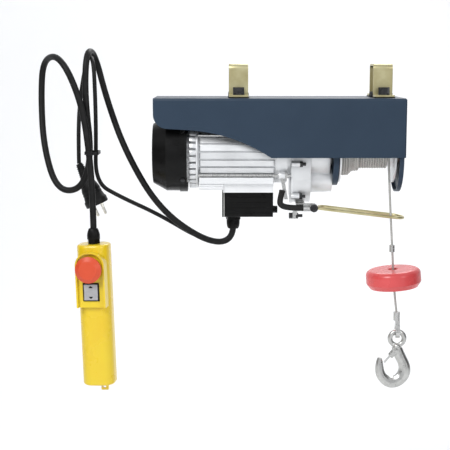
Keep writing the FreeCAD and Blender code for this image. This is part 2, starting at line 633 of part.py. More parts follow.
def rope_and_hook():
    """The rope fall with its ferrules, the stopper disc, the thimble, and the hook with its latch."""
    front = "-winding_round"
    keep(feature(bent_tube(FALL_LINE, dim("rope_round")), "fall_tube"), "rope_fall")
    collar = rod("Z", "5.2", ("collar_low", "collar_top"), "collar_at", front)
    keep(cut(feature(bent_tube(TAIL_LINE, dim("rope_round")), "tail_tube"), collar), "rope_tail")
    keep(group(
        rod("Z", "4.35", ("ferrule_low", "ferrule_top"), "ferrule_at", front),
        rod("Z", "5.2", ("collar_low", "collar_top"), "collar_at", front),
        rod("Z", "5.2", ("lower_ferrule_low", "lower_ferrule_top"), "lower_ferrule_at", front),
    ), "rope_ferrules")

    disc = doc.addObject("PartDesign::Body", "stopper_body")
    half = "disc_thick / 2"
    sketch = outline(disc, "XZ_Plane", [
        ("4.2", f"-{half} + 0.6"), ("4.8", f"-{half}"), ("disc_round - 5.5", f"-{half}"),
        ("disc_round - 0.6", f"-{half} + 7"), ("disc_round", f"-{half} + 8"), ("disc_round", f"{half} - 8.5"),
        ("disc_round - 8.5", half, 8.5), ("disc_hole + 1", half), ("disc_hole", f"{half} - 1"),
        ("disc_hole", "2"), ("4.2", "-2"),
    ])
    lathe = disc.newObject("PartDesign::Revolution", "lathe")
    lathe.Profile = sketch
    lathe.ReferenceAxis = (sketch, ["V_Axis"])
    lathe.Angle = 360
    disc.Placement = FreeCAD.Placement(
        FreeCAD.Vector(), FreeCAD.Rotation(FreeCAD.Vector(0, 1, 0), -dim("disc_tilt"))
    )
    keep(move(disc, "disc_at", front, "disc_up"), "stopper_disc")

    ring_top = "lower_ferrule_low"
    outer = [
        ("-10.2", "eye_up + 11.1"), ("0", "eye_up + 0.9", 10.2), ("10.2", "eye_up + 11.1", 10.2),
        ("5", ring_top), ("-5", ring_top),
    ]
    inner = [
        ("-6", "eye_up + 10.9"), ("0", "eye_up + 4.9", 6), ("6", "eye_up + 10.9", 6),
        ("1.8", "eye_up + 20"), ("-1.8", "eye_up + 20"),
    ]
    ring = cut(
        plate("thimble_outside", "YZ_Plane", outer, "6.6", "-3.3"),
        plate("thimble_inside", "YZ_Plane", inner, "9", "-4.5"),
    )
    keep(copies(ring, ("eye_at", front, "0"))[0], "thimble")

    pin = rod("Y", f"{PIN_ROUND}", (f"{front} - 9", f"{front} + 9"), "eye_at + latch_back", "eye_up - latch_low")
    keep(group(feature(hook_shape(), "hook_forging"), pin), "hook")
    keep(feature(latch_shape(), "latch_sheet"), "hook_latch")


# The hook's sections, from its neck round the bowl to its tip. Each is its outer and its inner
# edge as (x, z) from the middle of the eye, and half its thickness.
HOOK_SECTIONS = [
    ((8.3, -14.5), (-8.3, -14.5), 5.6), ((13.0, -24.5), (-5.6, -26.5), 5.8),
    ((19.6, -38.0), (0.6, -38.6), 6.4), ((22.9, -52.6), (3.1, -51.0), 7.2),
    ((18.4, -67.5), (-0.8, -58.6), 7.6), ((6.6, -78.4), (-4.9, -61.6), 7.8),
    ((-7.2, -81.9), (-9.6, -62.4), 7.6), ((-21.0, -76.7), (-15.0, -59.7), 7.0),
    ((-31.0, -64.7), (-19.0, -53.4), 6.0), ((-34.1, -51.2), (-20.9, -45.2), 5.2),
    ((-33.0, -39.0), (-22.2, -37.6), 4.2), ((-30.4, -31.4), (-24.4, -32.4), 2.9),
]
PIN_ROUND = 1.6
OVAL_POINTS = 12


def hook_shape():
    """The forged hook: an eye ring, and a body lofted through oval sections down to a rounded tip."""
    eye = FreeCAD.Vector(dim("eye_at"), -dim("winding_round"), dim("eye_up"))
    ring = Part.makeTorus(dim("eye_ring"), dim("eye_wire"), eye, FreeCAD.Vector(0, 1, 0))
    rings = []
    for (out_x, out_z), (in_x, in_z), thick in HOOK_SECTIONS:
        outer = eye + FreeCAD.Vector(out_x, 0, out_z)
        inner = eye + FreeCAD.Vector(in_x, 0, in_z)
        place, high = (outer + inner) * 0.5, (outer - inner).Length / 2
        across = (outer - inner).normalize()
        oval = [
            place + across * (high * math.cos(turn)) + FreeCAD.Vector(0, thick * math.sin(turn), 0)
            for turn in (math.tau * step / OVAL_POINTS for step in range(OVAL_POINTS))
        ]
        rings.append(Part.makePolygon(oval + oval[:1]))
    bowl = Part.makeLoft(rings, True, False)
    neck = Part.makeSphere(6.3, eye + FreeCAD.Vector(0, 0, -dim("eye_ring") - 2.5))
    middle = eye + FreeCAD.Vector(dim("latch_back"), -15, -dim("latch_low"))
    return ring.fuse([bowl, neck]).cut(Part.makeCylinder(PIN_ROUND, 30, middle, FreeCAD.Vector(0, 1, 0)))


def latch_shape():
    """The sheet latch: a plate from the pin to the inside of the tip, with two ears beside the neck."""
    x, y = dim("eye_at") + dim("latch_back"), -dim("winding_round")
    z = dim("eye_up") - dim("latch_low")
    sheet, wide, reach, lean = 1.2, 15.6, 11, 180 - 51
    pivot, level = FreeCAD.Vector(x, y, z), FreeCAD.Vector(0, 1, 0)
    ears = []
    for side in (-wide / 2, wide / 2 - sheet):
        ear = Part.makeCylinder(3.6, sheet, FreeCAD.Vector(x, y + side, z), level)
        arm = Part.makeBox(reach + sheet, sheet, 5.6, FreeCAD.Vector(x, y + side, z - 2.8))
        arm.rotate(pivot, level, lean)
        ears.append(ear.fuse(arm))
    bridge = Part.makeBox(sheet, wide, 2.8, FreeCAD.Vector(x + reach, y - wide / 2, z - 2.8))
    tongue = Part.makeBox(14.8, 8, sheet, FreeCAD.Vector(x + reach, y - 4, z - sheet))
    for piece in (bridge, tongue):
        piece.rotate(pivot, level, lean)
    shape = ears[0].fuse([ears[1], bridge, tongue]).removeSplitter()
    return shape.cut(Part.makeCylinder(PIN_ROUND + 0.06, 30, FreeCAD.Vector(x, y - 15, z), level))


# --- Terminal base, switch box and limit lever --------------------------------------------


def switch_box():
    """An aluminium terminal base under the motor, a switch box with its lid, gasket and gland."""
    upper = box(("base_left", "base_right"), ("-base_half", "base_half"), ("base_step", "base_top"))
    ribbed = box(("base_left", "ribbed_right"), ("-base_half + 4", "base_half - 4"), ("base_low + 4.6", "base_step"))
    lower = box(("ribbed_right", "base_right"), ("-base_half + 8", "base_half - 8"), ("base_low", "base_step"))
    ribs = [
        box(("base_left", "ribbed_right"), ("-base_half + 2.2", "base_half - 2.2"),
            (f"base_step - {drop} - 2", f"base_step - {drop}"))
        for drop in (2.2, 6.2)
    ]
    seat = rod("X", "fin_round + 0.4", ("base_left - 1", "base_right + 1"), "0", "axis_up")
    keep(cut(join(upper, ribbed, lower, *ribs), seat), "terminal_base")

    shell = box(("box_left", "box_right"), ("-box_half", "box_half"), ("box_low", "base_low"))
    soft = rounded(shell, 4, lambda middle, way, edge: abs(way.x) > 0.9 and middle.z < dim("box_low") + 1)
    room = box(("box_left - 1", "box_right - 3"), ("-box_half + 3", "box_half - 3"), ("box_low + 3", "base_low - 3"))
    entry = rod("Z", "8", ("box_low - 1", "box_low + 4"), "gland_at", "0")
    knob_hole = rod("X", "3", ("box_right - 5", "box_right + 1"), "0", "knob_up")
    keep(cut(soft, room, entry, knob_hole), "switch_box")
    gasket = box(("box_left - 1.2", "box_left"), ("-box_half + 0.5", "box_half - 0.5"), ("box_low + 0.5", "base_low - 0.5"))
    hole = box(("box_left - 2", "box_left + 1"), ("-box_half + 3", "box_half - 3"), ("box_low + 3", "base_low - 3"))
    keep(cut(gasket, hole), "box_gasket")
    keep(rounded(
        box(("lid_left", "box_left - 1.2"), ("-box_half", "box_half"), ("box_low", "base_low")), 3,
        lambda middle, way, edge: abs(way.x) > 0.9,
    ), "box_lid")
    keep(join(
        hexagon("X", "10", ("box_right", "box_right + 4"), "0", "knob_up"),
        rod("X", "5.7", ("box_right + 4", "box_right + 8"), "0", "knob_up"),
        rod("X", "2.9", ("box_right - 6", "box_right + 4"), "0", "knob_up"),
    ), "seal_nut")
    outside = join(
        hexagon("Z", "21", ("box_low - 8", "box_low"), "gland_at", "0"),
        cone("Z", "8.4", "10.6", ("gland_low", "box_low - 8"), "gland_at", "0"),
        rod("Z", "7.9", ("box_low - 1", "box_low + 6"), "gland_at", "0"),
    )
    keep(cut(outside, rod("Z", "5.2", ("gland_low - 1", "box_low + 9"), "gland_at", "-3.8"),
             rod("Z", "3.6", ("gland_low - 1", "box_low + 9"), "gland_at", "5.4")), "cable_gland")
    keep(rod("X", "11", ("-126", "-84"), "-14", "-166"), "capacitor")
    keep(box(("-110", "-66"), ("2", "24"), ("-182", "-158")), "contact_block")


def limit_lever():
    """A bracket with the pivot, the lever arm with its rubber sleeve, and the wire loop."""
    front, lever = "bracket_front", "lever_front"
    bar = box(("-22", "pivot_at"), (front, f"{front} + 3"), ("pivot_up - 6.3", "pivot_up + 6.3"))
    neck = box(("-27", "-20"), (front, f"{front} + 3"), ("pivot_up - 12", "pivot_up - 3"))
    nose = rod("Y", "6.3", (front, f"{front} + 3"), "pivot_at", "pivot_up")
    stay = box(("-22", "-8"), (front, "-10"), ("pivot_up + 3.8", "pivot_up + 6.3"))
    riser = box(("-22", "-8"), ("-13", "-10"), ("pivot_up + 3.8", "axis_up - centre_distance - 30"))
    tongue = box(("-27", "-22"), (front, f"{front} + 14"), ("pivot_up - 18", "pivot_up - 9.5"))
    adjuster_back, adjuster_up = f"{front} + 7", "pivot_up - 14"
    bracket = cut(join(bar, neck, nose, stay, riser, tongue),
                  rod("Y", "3", (f"{front} - 1", f"{front} + 4"), "pivot_at", "pivot_up"),
                  rod("X", "2.5", ("-28", "-21"), adjuster_back, adjuster_up),
                  rod("X", "case_round", ("-30", "5"), "0", "axis_up - centre_distance"))
    keep(bracket, "lever_bracket")
    pivot = cut(
        join(rod("Y", "3", (f"{lever} - 4", f"{front} + 4"), "pivot_at", "pivot_up"),
             rod("Y", "6.2", (f"{lever} - 8", f"{lever} - 3.2"), "pivot_at", "pivot_up")),
        hexagon("Y", "6", (f"{lever} - 9", f"{lever} - 5.5"), "pivot_at", "pivot_up"),
    )
    adjuster = join(
        hexagon("X", "8", ("-32.5", "-27"), adjuster_back, adjuster_up),
        rod("X", "2.5", ("-27", "-11.3"), adjuster_back, adjuster_up),
        hexagon("X", "8", ("-22", "-18"), adjuster_back, adjuster_up),
    )
    keep(group(pivot, adjuster), "lever_bolts")

    keep(feature(loop_shape(), "loop_wire"), "lever_loop")
    hub = rod("Y", "6", (f"{lever} - 3", f"{lever} + 3"), "pivot_at", "pivot_up")
    shank = rod("X", "1.9", ("-11", "pivot_at - 3"), lever, "pivot_up")
    bore = rod("Y", "3.1", (f"{lever} - 4", f"{lever} + 4"), "pivot_at", "pivot_up")
    keep(cut(join(hub, shank), bore), "lever_hub")
    keep(feature(sleeve_shape(), "sleeve_rubber"), "lever_sleeve")
    strap = doc.addObject("PartDesign::Body", "strap")
    padded(strap, outline(strap, "XZ_Plane", [
        ("-46.5", "-125"), ("-40.5", "-125"), ("-34.6", "-158"), ("-40.2", "-158"),
    ]), "1.5", True)
    keep(move(strap, "0", "bracket_front + 0.9", "0"), "lever_strap")


def bent_tube(points, radius):
    """A round tube along straight runs joined by tangent arcs, and the smallest arc's radius."""
    path = [FreeCAD.Vector(*p) for p in points]
    edges, bends, start = [], [], path[0]
    for before, corner, after in zip(path, path[1:], path[2:]):
        come, go = (corner - before), (after - corner)
        half_turn = come.getAngle(go) / 2
        reach = 0.45 * min(come.Length, go.Length)
        bends.append(reach / math.tan(half_turn))
        come.normalize()
        go.normalize()
        enter, leave = corner - come * reach, corner + go * reach
        inward = (go - come).normalize()
        middle = corner + inward * (bends[-1] * (1 / math.cos(half_turn) - 1))
        edges.append(Part.LineSegment(start, enter).toShape())
        edges.append(Part.Arc(enter, middle, leave).toShape())
        start = leave
    edges.append(Part.LineSegment(start, path[-1]).toShape())
    spine = Part.Wire(edges)
    section = Part.Wire(Part.Circle(path[0], path[1] - path[0], radius).toShape())
    tube = spine.makePipeShell([section], True, False)
    ideal = spine.Length * math.pi * radius**2
    if abs(tube.Volume - ideal) > 0.01 * ideal:
        raise RuntimeError(f"a tube's volume is {tube.Volume:.0f}, and its section times length is {ideal:.0f}")
    print(f"tube {spine.Length:.0f} long, arcs {[round(b) for b in bends]}")
    return tube


def loop_shape():
    """The zinc wire loop: out from the hub, along the front, round the end and back."""
    left, right, front, back = (dim(n) for n in ("loop_left", "loop_right", "loop_front", "loop_back"))
    lever, high = dim("lever_front"), dim("pivot_up") - 1.2
    slope = dim("loop_drop") / (right - left)

    def at(x, y):
        return (x, y, high - slope * (x - left))

    return bent_tube(
        [at(left - 3.3, lever), at(left + 10, front), at(right, front), at(right, back), at(left, back),
         at(left, lever + 4.6)],
        dim("wire_round"),
    )


def sleeve_shape():
    """The rubber-sleeved tail of the lever, which bends up in front of the motor's end shield."""
    front, up = dim("lever_front"), dim("pivot_up")
    return bent_tube(
        [(-11, front, up), (-30, front, up - 0.6), (-47.5, front, up + 3.5), (-46.8, front, up + 15.5),
         (-43.8, front - 1.5, up + 27)],
        dim("sleeve_round"),
    )


# --- Pendant handset ----------------------------------------------------------------------


def on_handset(thing):
    """Turns and moves a piece that was made about the handset's own top middle."""
    held = doc.addObject("Part::Compound", "placed")
    held.Links = [thing]
    held.Placement = FreeCAD.Placement(
        FreeCAD.Vector(), FreeCAD.Rotation(FreeCAD.Vector(0, 0, 1), dim("handset_turn"))
        * FreeCAD.Rotation(FreeCAD.Vector(0, 1, 0), dim("handset_lean"))
    )
    return move(held, "handset_x", "handset_y", "handset_z")


def handset():
    """The yellow oval handset with its hood, stop button, rocker, gland and switch inside."""
    front, floor = "-handset_deep / 2", "-handset_deep / 2 - hood_floor"
    rim = "-handset_deep / 2 - hood_proud"

    def upright(middle, way, edge):
        return abs(way.z) > 0.9

    body = box(("-handset_wide / 2", "handset_wide / 2"), (front, "handset_deep / 2"), ("-handset_tall", "0"))
    oval = rounded(body, dim("handset_round"), upright)
    soft = rounded(oval, 4, lambda middle, way, edge: middle.z > -0.1 or middle.z < -dim("handset_tall") + 0.1)
    wall = 4
    room = rounded(
        box((f"-handset_wide / 2 + {wall}", f"handset_wide / 2 - {wall}"),
            (f"{front} + {wall}", f"handset_deep / 2 - {wall}"), ("-handset_tall + 6", "-6")),
        dim("handset_round") - wall, upright,
    )
    windows = [
        rod("Y", "9.5", (f"{front} - 1", f"{front} + 6"), "0", "stop_up"),
        box(("-rocker_wide / 2 - 1", "rocker_wide / 2 + 1"), (f"{front} - 1", f"{front} + 6"),
            ("rocker_up - rocker_tall / 2 - 1", "rocker_up + rocker_tall / 2 + 1")),
    ]
    top_hole = rod("Z", "6.5", ("-8", "1"), "0", "0")
    tab = cut(
        box(("2", "13"), ("-3", "3"), ("-handset_tall - 11", "-handset_tall + 1")),
        rod("Y", "3", ("-5", "5"), "6.5", "-handset_tall - 5.5"),
    )
    keep(on_handset(cut(join(soft, tab), room, top_hole, *windows)), "handset_shell")

    def arched(half, low, top, near, far, bend):
        block = box((f"-({half})", half), (near, far), (low, top))
        doc.recompute()
        crown = block.Shape.BoundBox.ZMax
        return rounded(block, bend, lambda middle, way, edge: abs(way.y) > 0.9 and middle.z > crown - 1)

    outside = arched("hood_wide / 2", "hood_low", "hood_top", rim, f"{front} + 12", 21)
    inside = arched("hood_wide / 2 - hood_wall", "hood_low - 1", "hood_top - hood_wall", f"{rim} - 1", floor, 18.4)
    openings = [
        rod("Y", "13", (f"{rim} - 1", f"{front} + 1"), "0", "stop_up"),
        box(("-rocker_frame_wide / 2", "rocker_frame_wide / 2"), (f"{rim} - 1", f"{front} + 1"),
            ("rocker_up - rocker_frame_tall / 2", "rocker_up + rocker_frame_tall / 2")),
    ]
    collar = cut(
        rod("Y", "13", (f"{floor} - 1.6", front), "0", "stop_up"),
        rod("Y", "9.3", (f"{floor} - 3", f"{front} + 1"), "0", "stop_up"),
    )
    keep(on_handset(join(cut(outside, inside, soft, *openings), collar)), "handset_bezel")

    frame = box(("-rocker_frame_wide / 2", "rocker_frame_wide / 2"), (f"{floor} - 1.6", front),
                ("rocker_up - rocker_frame_tall / 2", "rocker_up + rocker_frame_tall / 2"))
    gap = box(("-rocker_wide / 2 - 0.6", "rocker_wide / 2 + 0.6"), (f"{floor} - 3", f"{front} + 1"),
              ("rocker_up - rocker_tall / 2 - 1", "rocker_up + rocker_tall / 2 + 1"))
    keep(on_handset(cut(frame, gap)), "rocker_frame")

    # the rocker's face is two slopes that meet at its pivot line
    face = f"{floor} - 2.2"
    rocker = doc.addObject("PartDesign::Body", "rocker_body")
    side = [
        (f"{front} + 4", "-rocker_tall / 2 + 3"), (f"{face} - 1.6", "-rocker_tall / 2"), (face, "0"),
        (f"{face} - 1.6", "rocker_tall / 2"), (f"{front} + 4", "rocker_tall / 2 - 3"),
    ]
    padded(rocker, outline(rocker, "YZ_Plane", side), "rocker_wide", True)
    keep(on_handset(copies(rocker, ("0", "0", "rocker_up"))[0]), "rocker")

    keep(on_handset(rod("Y", "9", (f"{floor} - 9", f"{front} + 5"), "0", "stop_up")), "stop_stem")
    cap = join(
        rod("Y", "stop_round", (f"{floor} - 14", f"{floor} - 9.6"), "0", "stop_up"),
        cone("Y", "stop_round - 6.5", "stop_round", (f"{floor} - 18", f"{floor} - 14"),
             "0", "stop_up"),
        rod("Y", "8.8", (f"{floor} - 11", f"{floor} - 9"), "0", "stop_up"),
    )
    keep(on_handset(cap), "stop_cap")
    keep(on_handset(box(("-14", "14"), (f"{front} + 10", "handset_deep / 2 - 8"), ("-96", "-20"))), "handset_switch")
    gland = join(
        hexagon("Z", "18", ("0", "6"), "0", "0"), rod("Z", "10.2", ("6", "16"), "0", "0"),
        cone("Z", "10.2", "6.8", ("16", "24"), "0", "0"),
        rod("Z", "6.4", ("-6", "1"), "0", "0"),
    )
    keep(on_handset(cut(gland, rod("Z", "pendant_round + 0.8", ("-7", "25"), "0", "0"))), "handset_gland")


# --- Cables and plug ----------------------------------------------------------------------

PENDANT_ROUTE = [
    (-120, -3.8, -206), (-122, -4, -231), (-167, -7, -228), (-238, -10, -176), (-290, 0, -88),
    (-322, 27, -5), (-341, 31, 71), (-347, -29, 71), (-350, -30, 0), (-341, -27, -92),
    (-359, -24, -145), (-399, -14, -146), (-421, 6, -80), (-427, 27, -2), (-423, 31, 60),
    (-385, -38, 65), (-353, -42, -8), (-342, -43, -95), (-338.6, -45, -165), (-338.2, -45, -205),
]
MAINS_ROUTE = [
    (-120, 5.3, -206), (-123, 6, -231), (-170, 8, -229), (-238, 9, -188), (-300, 0, -158),
    (-338, -11, -134), (-335, -17, -60), (-334, -30, 8), (-336, -30, 62), (-353, 29, 62),
    (-365, 27, -4), (-367, 14, -62), (-366, 10, -106),
]


def cables():
    """The pendant cable and the mains cable, both draped over the beam, with the plug and a tie."""
    keep(feature(bent_tube(PENDANT_ROUTE, dim("pendant_round")), "pendant_tube"), "pendant_cable")
    keep(feature(bent_tube(MAINS_ROUTE, dim("mains_round")), "mains_tube"), "mains_cable")

    lean = FreeCAD.Placement(
        FreeCAD.Vector(dim("plug_x"), dim("plug_y"), dim("plug_z")),
        FreeCAD.Rotation(FreeCAD.Vector(0, 1, 0), 180 - dim("plug_lean")),
    )
    shell = turned_upright("plug_shell", [
        ("mains_round + 0.1", "0"), ("4.6", "0"), ("6.5", "22"), ("12", "34"), ("15", "44"), ("16.8", "60"),
        ("plug_face", "62"), ("plug_face", "plug_long"), ("0.01", "plug_long"), ("0.01", "8"), ("mains_round + 0.1", "8"),
    ])
    body = doc.addObject("Part::Compound", "plug_placed")
    body.Links = [shell]
    body.Placement = lean
    pins = [rod("Z", "pin_round", ("plug_long", "plug_long + pin_long"), x, "0") for x in ("pin_apart / 2", "-pin_apart / 2")]
    pair = group(*pins)
    pair.Placement = lean * FreeCAD.Placement(
        FreeCAD.Vector(), FreeCAD.Rotation(FreeCAD.Vector(0, 0, 1), dim("pin_turn"))
    )
    keep(group(body, pair), "mains_plug")

    ring = rounded(box(("-350.5", "-328.5"), ("-50", "-9"), ("-87.4", "-82.8")), 6,
                   lambda middle, way, edge: abs(way.z) > 0.9)
    hole = rounded(box(("-349", "-330"), ("-48.5", "-10.5"), ("-90", "-80")), 5,
                   lambda middle, way, edge: abs(way.z) > 0.9)
    lock = box(("-345", "-338"), ("-53", "-49.8"), ("-88", "-82"))
    keep(join(cut(ring, hole), lock), "cable_tie")


clamps()
cover()
carrier()
motor()
bearings()
gear_train()
gearbox()
drum()
rope_and_hook()
switch_box()
limit_lever()
handset()
cables()
doc.recompute()

faults = [o.Label for o in doc.Objects if "Invalid" in o.State or "Error" in o.State]
faults += [n.Label for n in nodes if n.Shape.isNull() or not n.Shape.isValid()]
if faults:
    raise RuntimeError(f"these objects failed: {faults}")

os.makedirs("parts", exist_ok=True)
for node in nodes:
    node.Shape.exportStep(f"parts/{node.Label}.step")
    bounds = node.Shape.BoundBox
    print(f"{node.Label:20s} {len(node.Shape.Solids)} solids {node.Shape.Volume:9.0f} mm3  "
          f"X {bounds.XMin:.1f} {bounds.XMax:.1f} Y {bounds.YMin:.1f} {bounds.YMax:.1f} Z {bounds.ZMin:.1f} {bounds.ZMax:.1f}")
print(len(nodes), "nodes")
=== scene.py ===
import math
import random

import bmesh
import bpy
from mathutils import Matrix, Vector


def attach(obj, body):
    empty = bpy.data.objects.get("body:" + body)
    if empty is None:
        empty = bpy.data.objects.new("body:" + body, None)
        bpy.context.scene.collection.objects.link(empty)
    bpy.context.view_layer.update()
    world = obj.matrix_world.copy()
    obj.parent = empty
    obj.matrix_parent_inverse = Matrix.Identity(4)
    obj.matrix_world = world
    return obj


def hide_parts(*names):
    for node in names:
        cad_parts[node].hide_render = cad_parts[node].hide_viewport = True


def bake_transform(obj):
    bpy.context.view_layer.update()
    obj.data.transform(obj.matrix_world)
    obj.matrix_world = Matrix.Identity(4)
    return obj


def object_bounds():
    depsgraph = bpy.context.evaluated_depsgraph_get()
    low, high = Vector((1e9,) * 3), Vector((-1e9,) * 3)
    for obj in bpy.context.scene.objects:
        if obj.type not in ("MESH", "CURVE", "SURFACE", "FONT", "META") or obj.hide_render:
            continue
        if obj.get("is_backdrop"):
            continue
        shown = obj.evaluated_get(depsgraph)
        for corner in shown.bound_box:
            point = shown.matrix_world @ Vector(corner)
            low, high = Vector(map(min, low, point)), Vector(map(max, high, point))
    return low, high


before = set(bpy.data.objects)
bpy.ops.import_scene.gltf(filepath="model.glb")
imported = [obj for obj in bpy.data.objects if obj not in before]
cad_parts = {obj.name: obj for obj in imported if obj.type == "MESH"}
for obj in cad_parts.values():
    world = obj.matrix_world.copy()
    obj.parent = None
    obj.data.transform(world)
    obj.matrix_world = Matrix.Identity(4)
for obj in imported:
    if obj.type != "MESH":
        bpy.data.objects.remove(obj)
cad_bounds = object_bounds()

# --- Camera, lights and sweep ---------------------------------------------------------------
# The hoist hangs in front of a pale paper sweep. A long lens looks a little down on it. Two
# broad soft lamps and an even white surround stand in for a studio tent, and a third lamp
# rims it from behind. Black flags at both sides give the bright metal its dark edges.

scene = bpy.context.scene
scene.view_settings.view_transform = "Standard"


def aimed(thing, place, target):
    """Puts a lamp or camera at a place, looking at a target."""
    scene.collection.objects.link(thing)
    thing.location = place
    thing.rotation_euler = (Vector(target) - Vector(place)).to_track_quat("-Z", "Y").to_euler()
    return thing


lens = bpy.data.cameras.new("long_lens")
lens.lens = 90.94
lens.sensor_width = 36
scene.camera = aimed(bpy.data.objects.new("camera", lens), (-0.133, -1.8, 0.0575), (-0.133, 0, -0.2035))

MIDDLE = (-0.13, 0, -0.2)
for name, place, size, watts in (
    ("key_lamp", (-1.3, -1.7, 1.3), 0.8, 34),
    ("fill_lamp", (1.5, -1.6, 0.5), 0.7, 16),
    ("rear_lamp", (0.3, 1.6, 1.4), 1.2, 22),
):
    lamp = bpy.data.lights.new(name, "AREA")
    lamp.energy = watts
    lamp.size = size
    aimed(bpy.data.objects.new(name, lamp), place, MIDDLE)

surround = bpy.data.worlds.new("studio_surround")
surround.use_nodes = True
surround.node_tree.nodes["Background"].inputs["Color"].default_value = (0.95, 0.97, 1, 1)
surround.node_tree.nodes["Background"].inputs["Strength"].default_value = 0.72
scene.world = surround


def solid(name, corners, faces):
    """A smooth-shaded mesh object whose faces point outwards, with sharp folds kept."""
    mesh = bpy.data.meshes.new(name)
    mesh.from_pydata([tuple(c) for c in corners], [], faces)
    work = bmesh.new()
    work.from_mesh(mesh)
    bmesh.ops.remove_doubles(work, verts=work.verts, dist=1e-6)
    bmesh.ops.recalc_face_normals(work, faces=work.faces)
    work.to_mesh(mesh)
    work.free()
    mesh.polygons.foreach_set("use_smooth", [True] * len(mesh.polygons))
    mesh.set_sharp_from_angle(angle=math.radians(38))
    piece = bpy.data.objects.new(name, mesh)
    scene.collection.objects.link(piece)
    return piece


SWEEP_LOW, SWEEP_ROUND, SWEEP_BACK, SWEEP_HALF = -0.85, 0.9, 2.4, 5.0
profile = [(-4.0, SWEEP_LOW)]
for step in range(17):
    turn = math.radians(90 * step / 16)
    profile.append((SWEEP_BACK - SWEEP_ROUND + SWEEP_ROUND * math.sin(turn),
                    SWEEP_LOW + SWEEP_ROUND - SWEEP_ROUND * math.cos(turn)))
profile.append((SWEEP_BACK, 4.0))
sweep = solid(
    "paper_sweep",
    [(side * SWEEP_HALF, y, z) for y, z in profile for side in (-1, 1)],
    [(2 * i, 2 * i + 1, 2 * i + 3, 2 * i + 2) for i in range(len(profile) - 1)],
)
paper = bpy.data.materials.new("white_paper")
paper.use_nodes = True
paper.node_tree.nodes["Principled BSDF"].inputs["Base Color"].default_value = (0.93, 0.93, 0.93, 1)
paper.node_tree.nodes["Principled BSDF"].inputs["Roughness"].default_value = 0.9
sweep.data.materials.append(paper)
sweep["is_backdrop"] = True

flag_black = bpy.data.materials.new("flag_black")
flag_black.use_nodes = True
flag_black.node_tree.nodes["Principled BSDF"].inputs["Base Color"].default_value = (0.01, 0.01, 0.01, 1)
flag_black.node_tree.nodes["Principled BSDF"].inputs["Specular IOR Level"].default_value = 0.0
FLAG_OUT = 0.95
for side, name in ((-1, "left_flag"), (1, "right_flag")):
    flag_x = side * FLAG_OUT + MIDDLE[0]
    flag = solid(name, [(flag_x, y, z) for y in (-0.9, 0.1) for z in (-0.5, 0.35)], [(0, 1, 3, 2)])
    flag.data.materials.append(flag_black)
    flag.visible_camera = False
    flag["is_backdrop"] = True

# --- Pendant lead ---------------------------------------------------------------------------
# The thick black rubber lead that carries the handset. It leaves the gland under the switch
# box, is laid over the beam twice for storage, and drops straight into the handset's gland.


class Wire:
    """A socket in a node tree. Sums on it add Math nodes, and add() makes any other node."""

    def __init__(self, tree, socket=None):
        self.tree, self.socket = tree, socket

    def add(self, kind, settings, sockets, output=0):
        """A node with its settings made first; sockets take wires or plain values."""
        node = self.tree.nodes.new(kind)
        for name, value in settings.items():
            setattr(node, name, value)
        for name, value in sockets.items():
            if isinstance(value, Wire):
                self.tree.links.new(value.socket, node.inputs[name])
            else:
                node.inputs[name].default_value = value
        return Wire(self.tree, node.outputs[output])

    def sum(self, operation, first, second):
        return self.add("ShaderNodeMath", {"operation": operation}, {0: first, 1: second})

    def __add__(self, other):
        return self.sum("ADD", self, other)

    def __sub__(self, other):
        return self.sum("SUBTRACT", self, other)

    def __rsub__(self, other):
        return self.sum("SUBTRACT", other, self)

    def __mul__(self, other):
        return self.sum("MULTIPLY", self, other)

    def __gt__(self, other):
        return self.sum("GREATER_THAN", self, other)

    __radd__, __rmul__ = __add__, __mul__


def finish(name, **constants):
    """A material, its shader, and a wire that carries the piece's own Object coordinates."""
    made = bpy.data.materials.new(name)
    made.use_nodes = True
    shader = made.node_tree.nodes["Principled BSDF"]
    for word, value in constants.items():
        shader.inputs[word.replace("_", " ")].default_value = value
    place = Wire(made.node_tree).add("ShaderNodeTexCoord", {}, {}, "Object")
    return made, shader, place


def noise(place, scale, detail=3.0):
    """Soft random patches, about 1 / scale metres across, from 0 to 1."""
    return place.add("ShaderNodeTexNoise", {}, {"Vector": place, "Scale": scale, "Detail": detail})


def blended(factor, one, other):
    """One colour where the factor is 0 and the other where it is 1."""
    shades = {6: (*one, 1), 7: (*other, 1)}
    return factor.add("ShaderNodeMix", {"data_type": "RGBA"}, {0: factor, **shades}, 2)


def feed(shader, **wires):
    """Links wires to the shader's sockets; Height goes through a Bump node, Depth is its distance."""
    depth = wires.pop("Depth", 0.0001)
    for word, wire in wires.items():
        if word == "Height":
            wire = wire.add("ShaderNodeBump", {}, {"Height": wire, "Distance": depth, "Strength": 1.0})
            word = "Normal"
        wire.tree.links.new(wire.socket, shader.inputs[word.replace("_", " ")])


def coat(finish_made, slot, *pieces):
    """Gives pieces, or CAD nodes by name, their finish. The slot argument is not used."""
    for piece in pieces:
        if isinstance(piece, str):
            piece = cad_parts[piece]
            for place in piece.material_slots:
                place.material = finish_made
            continue
        piece.data.materials.clear()
        piece.data.materials.append(finish_made)


def nurbs_line(name, points, thick):
    """A round lead on one smooth line with these control points."""
    line = bpy.data.curves.new(name, "CURVE")
    line.dimensions = "3D"
    spline = line.splines.new("NURBS")
    spline.points.add(len(points) - 1)
    for spot, (x, y, z) in zip(spline.points, points):
        spot.co = (x, y, z, 1)
    spline.order_u = 3
    spline.use_endpoint_u = True
    spline.resolution_u = 16
    line.bevel_depth = thick / 2
    line.bevel_resolution = 6
    line.use_fill_caps = True
    lead = bpy.data.objects.new(name, line)
    scene.collection.objects.link(lead)
    return lead


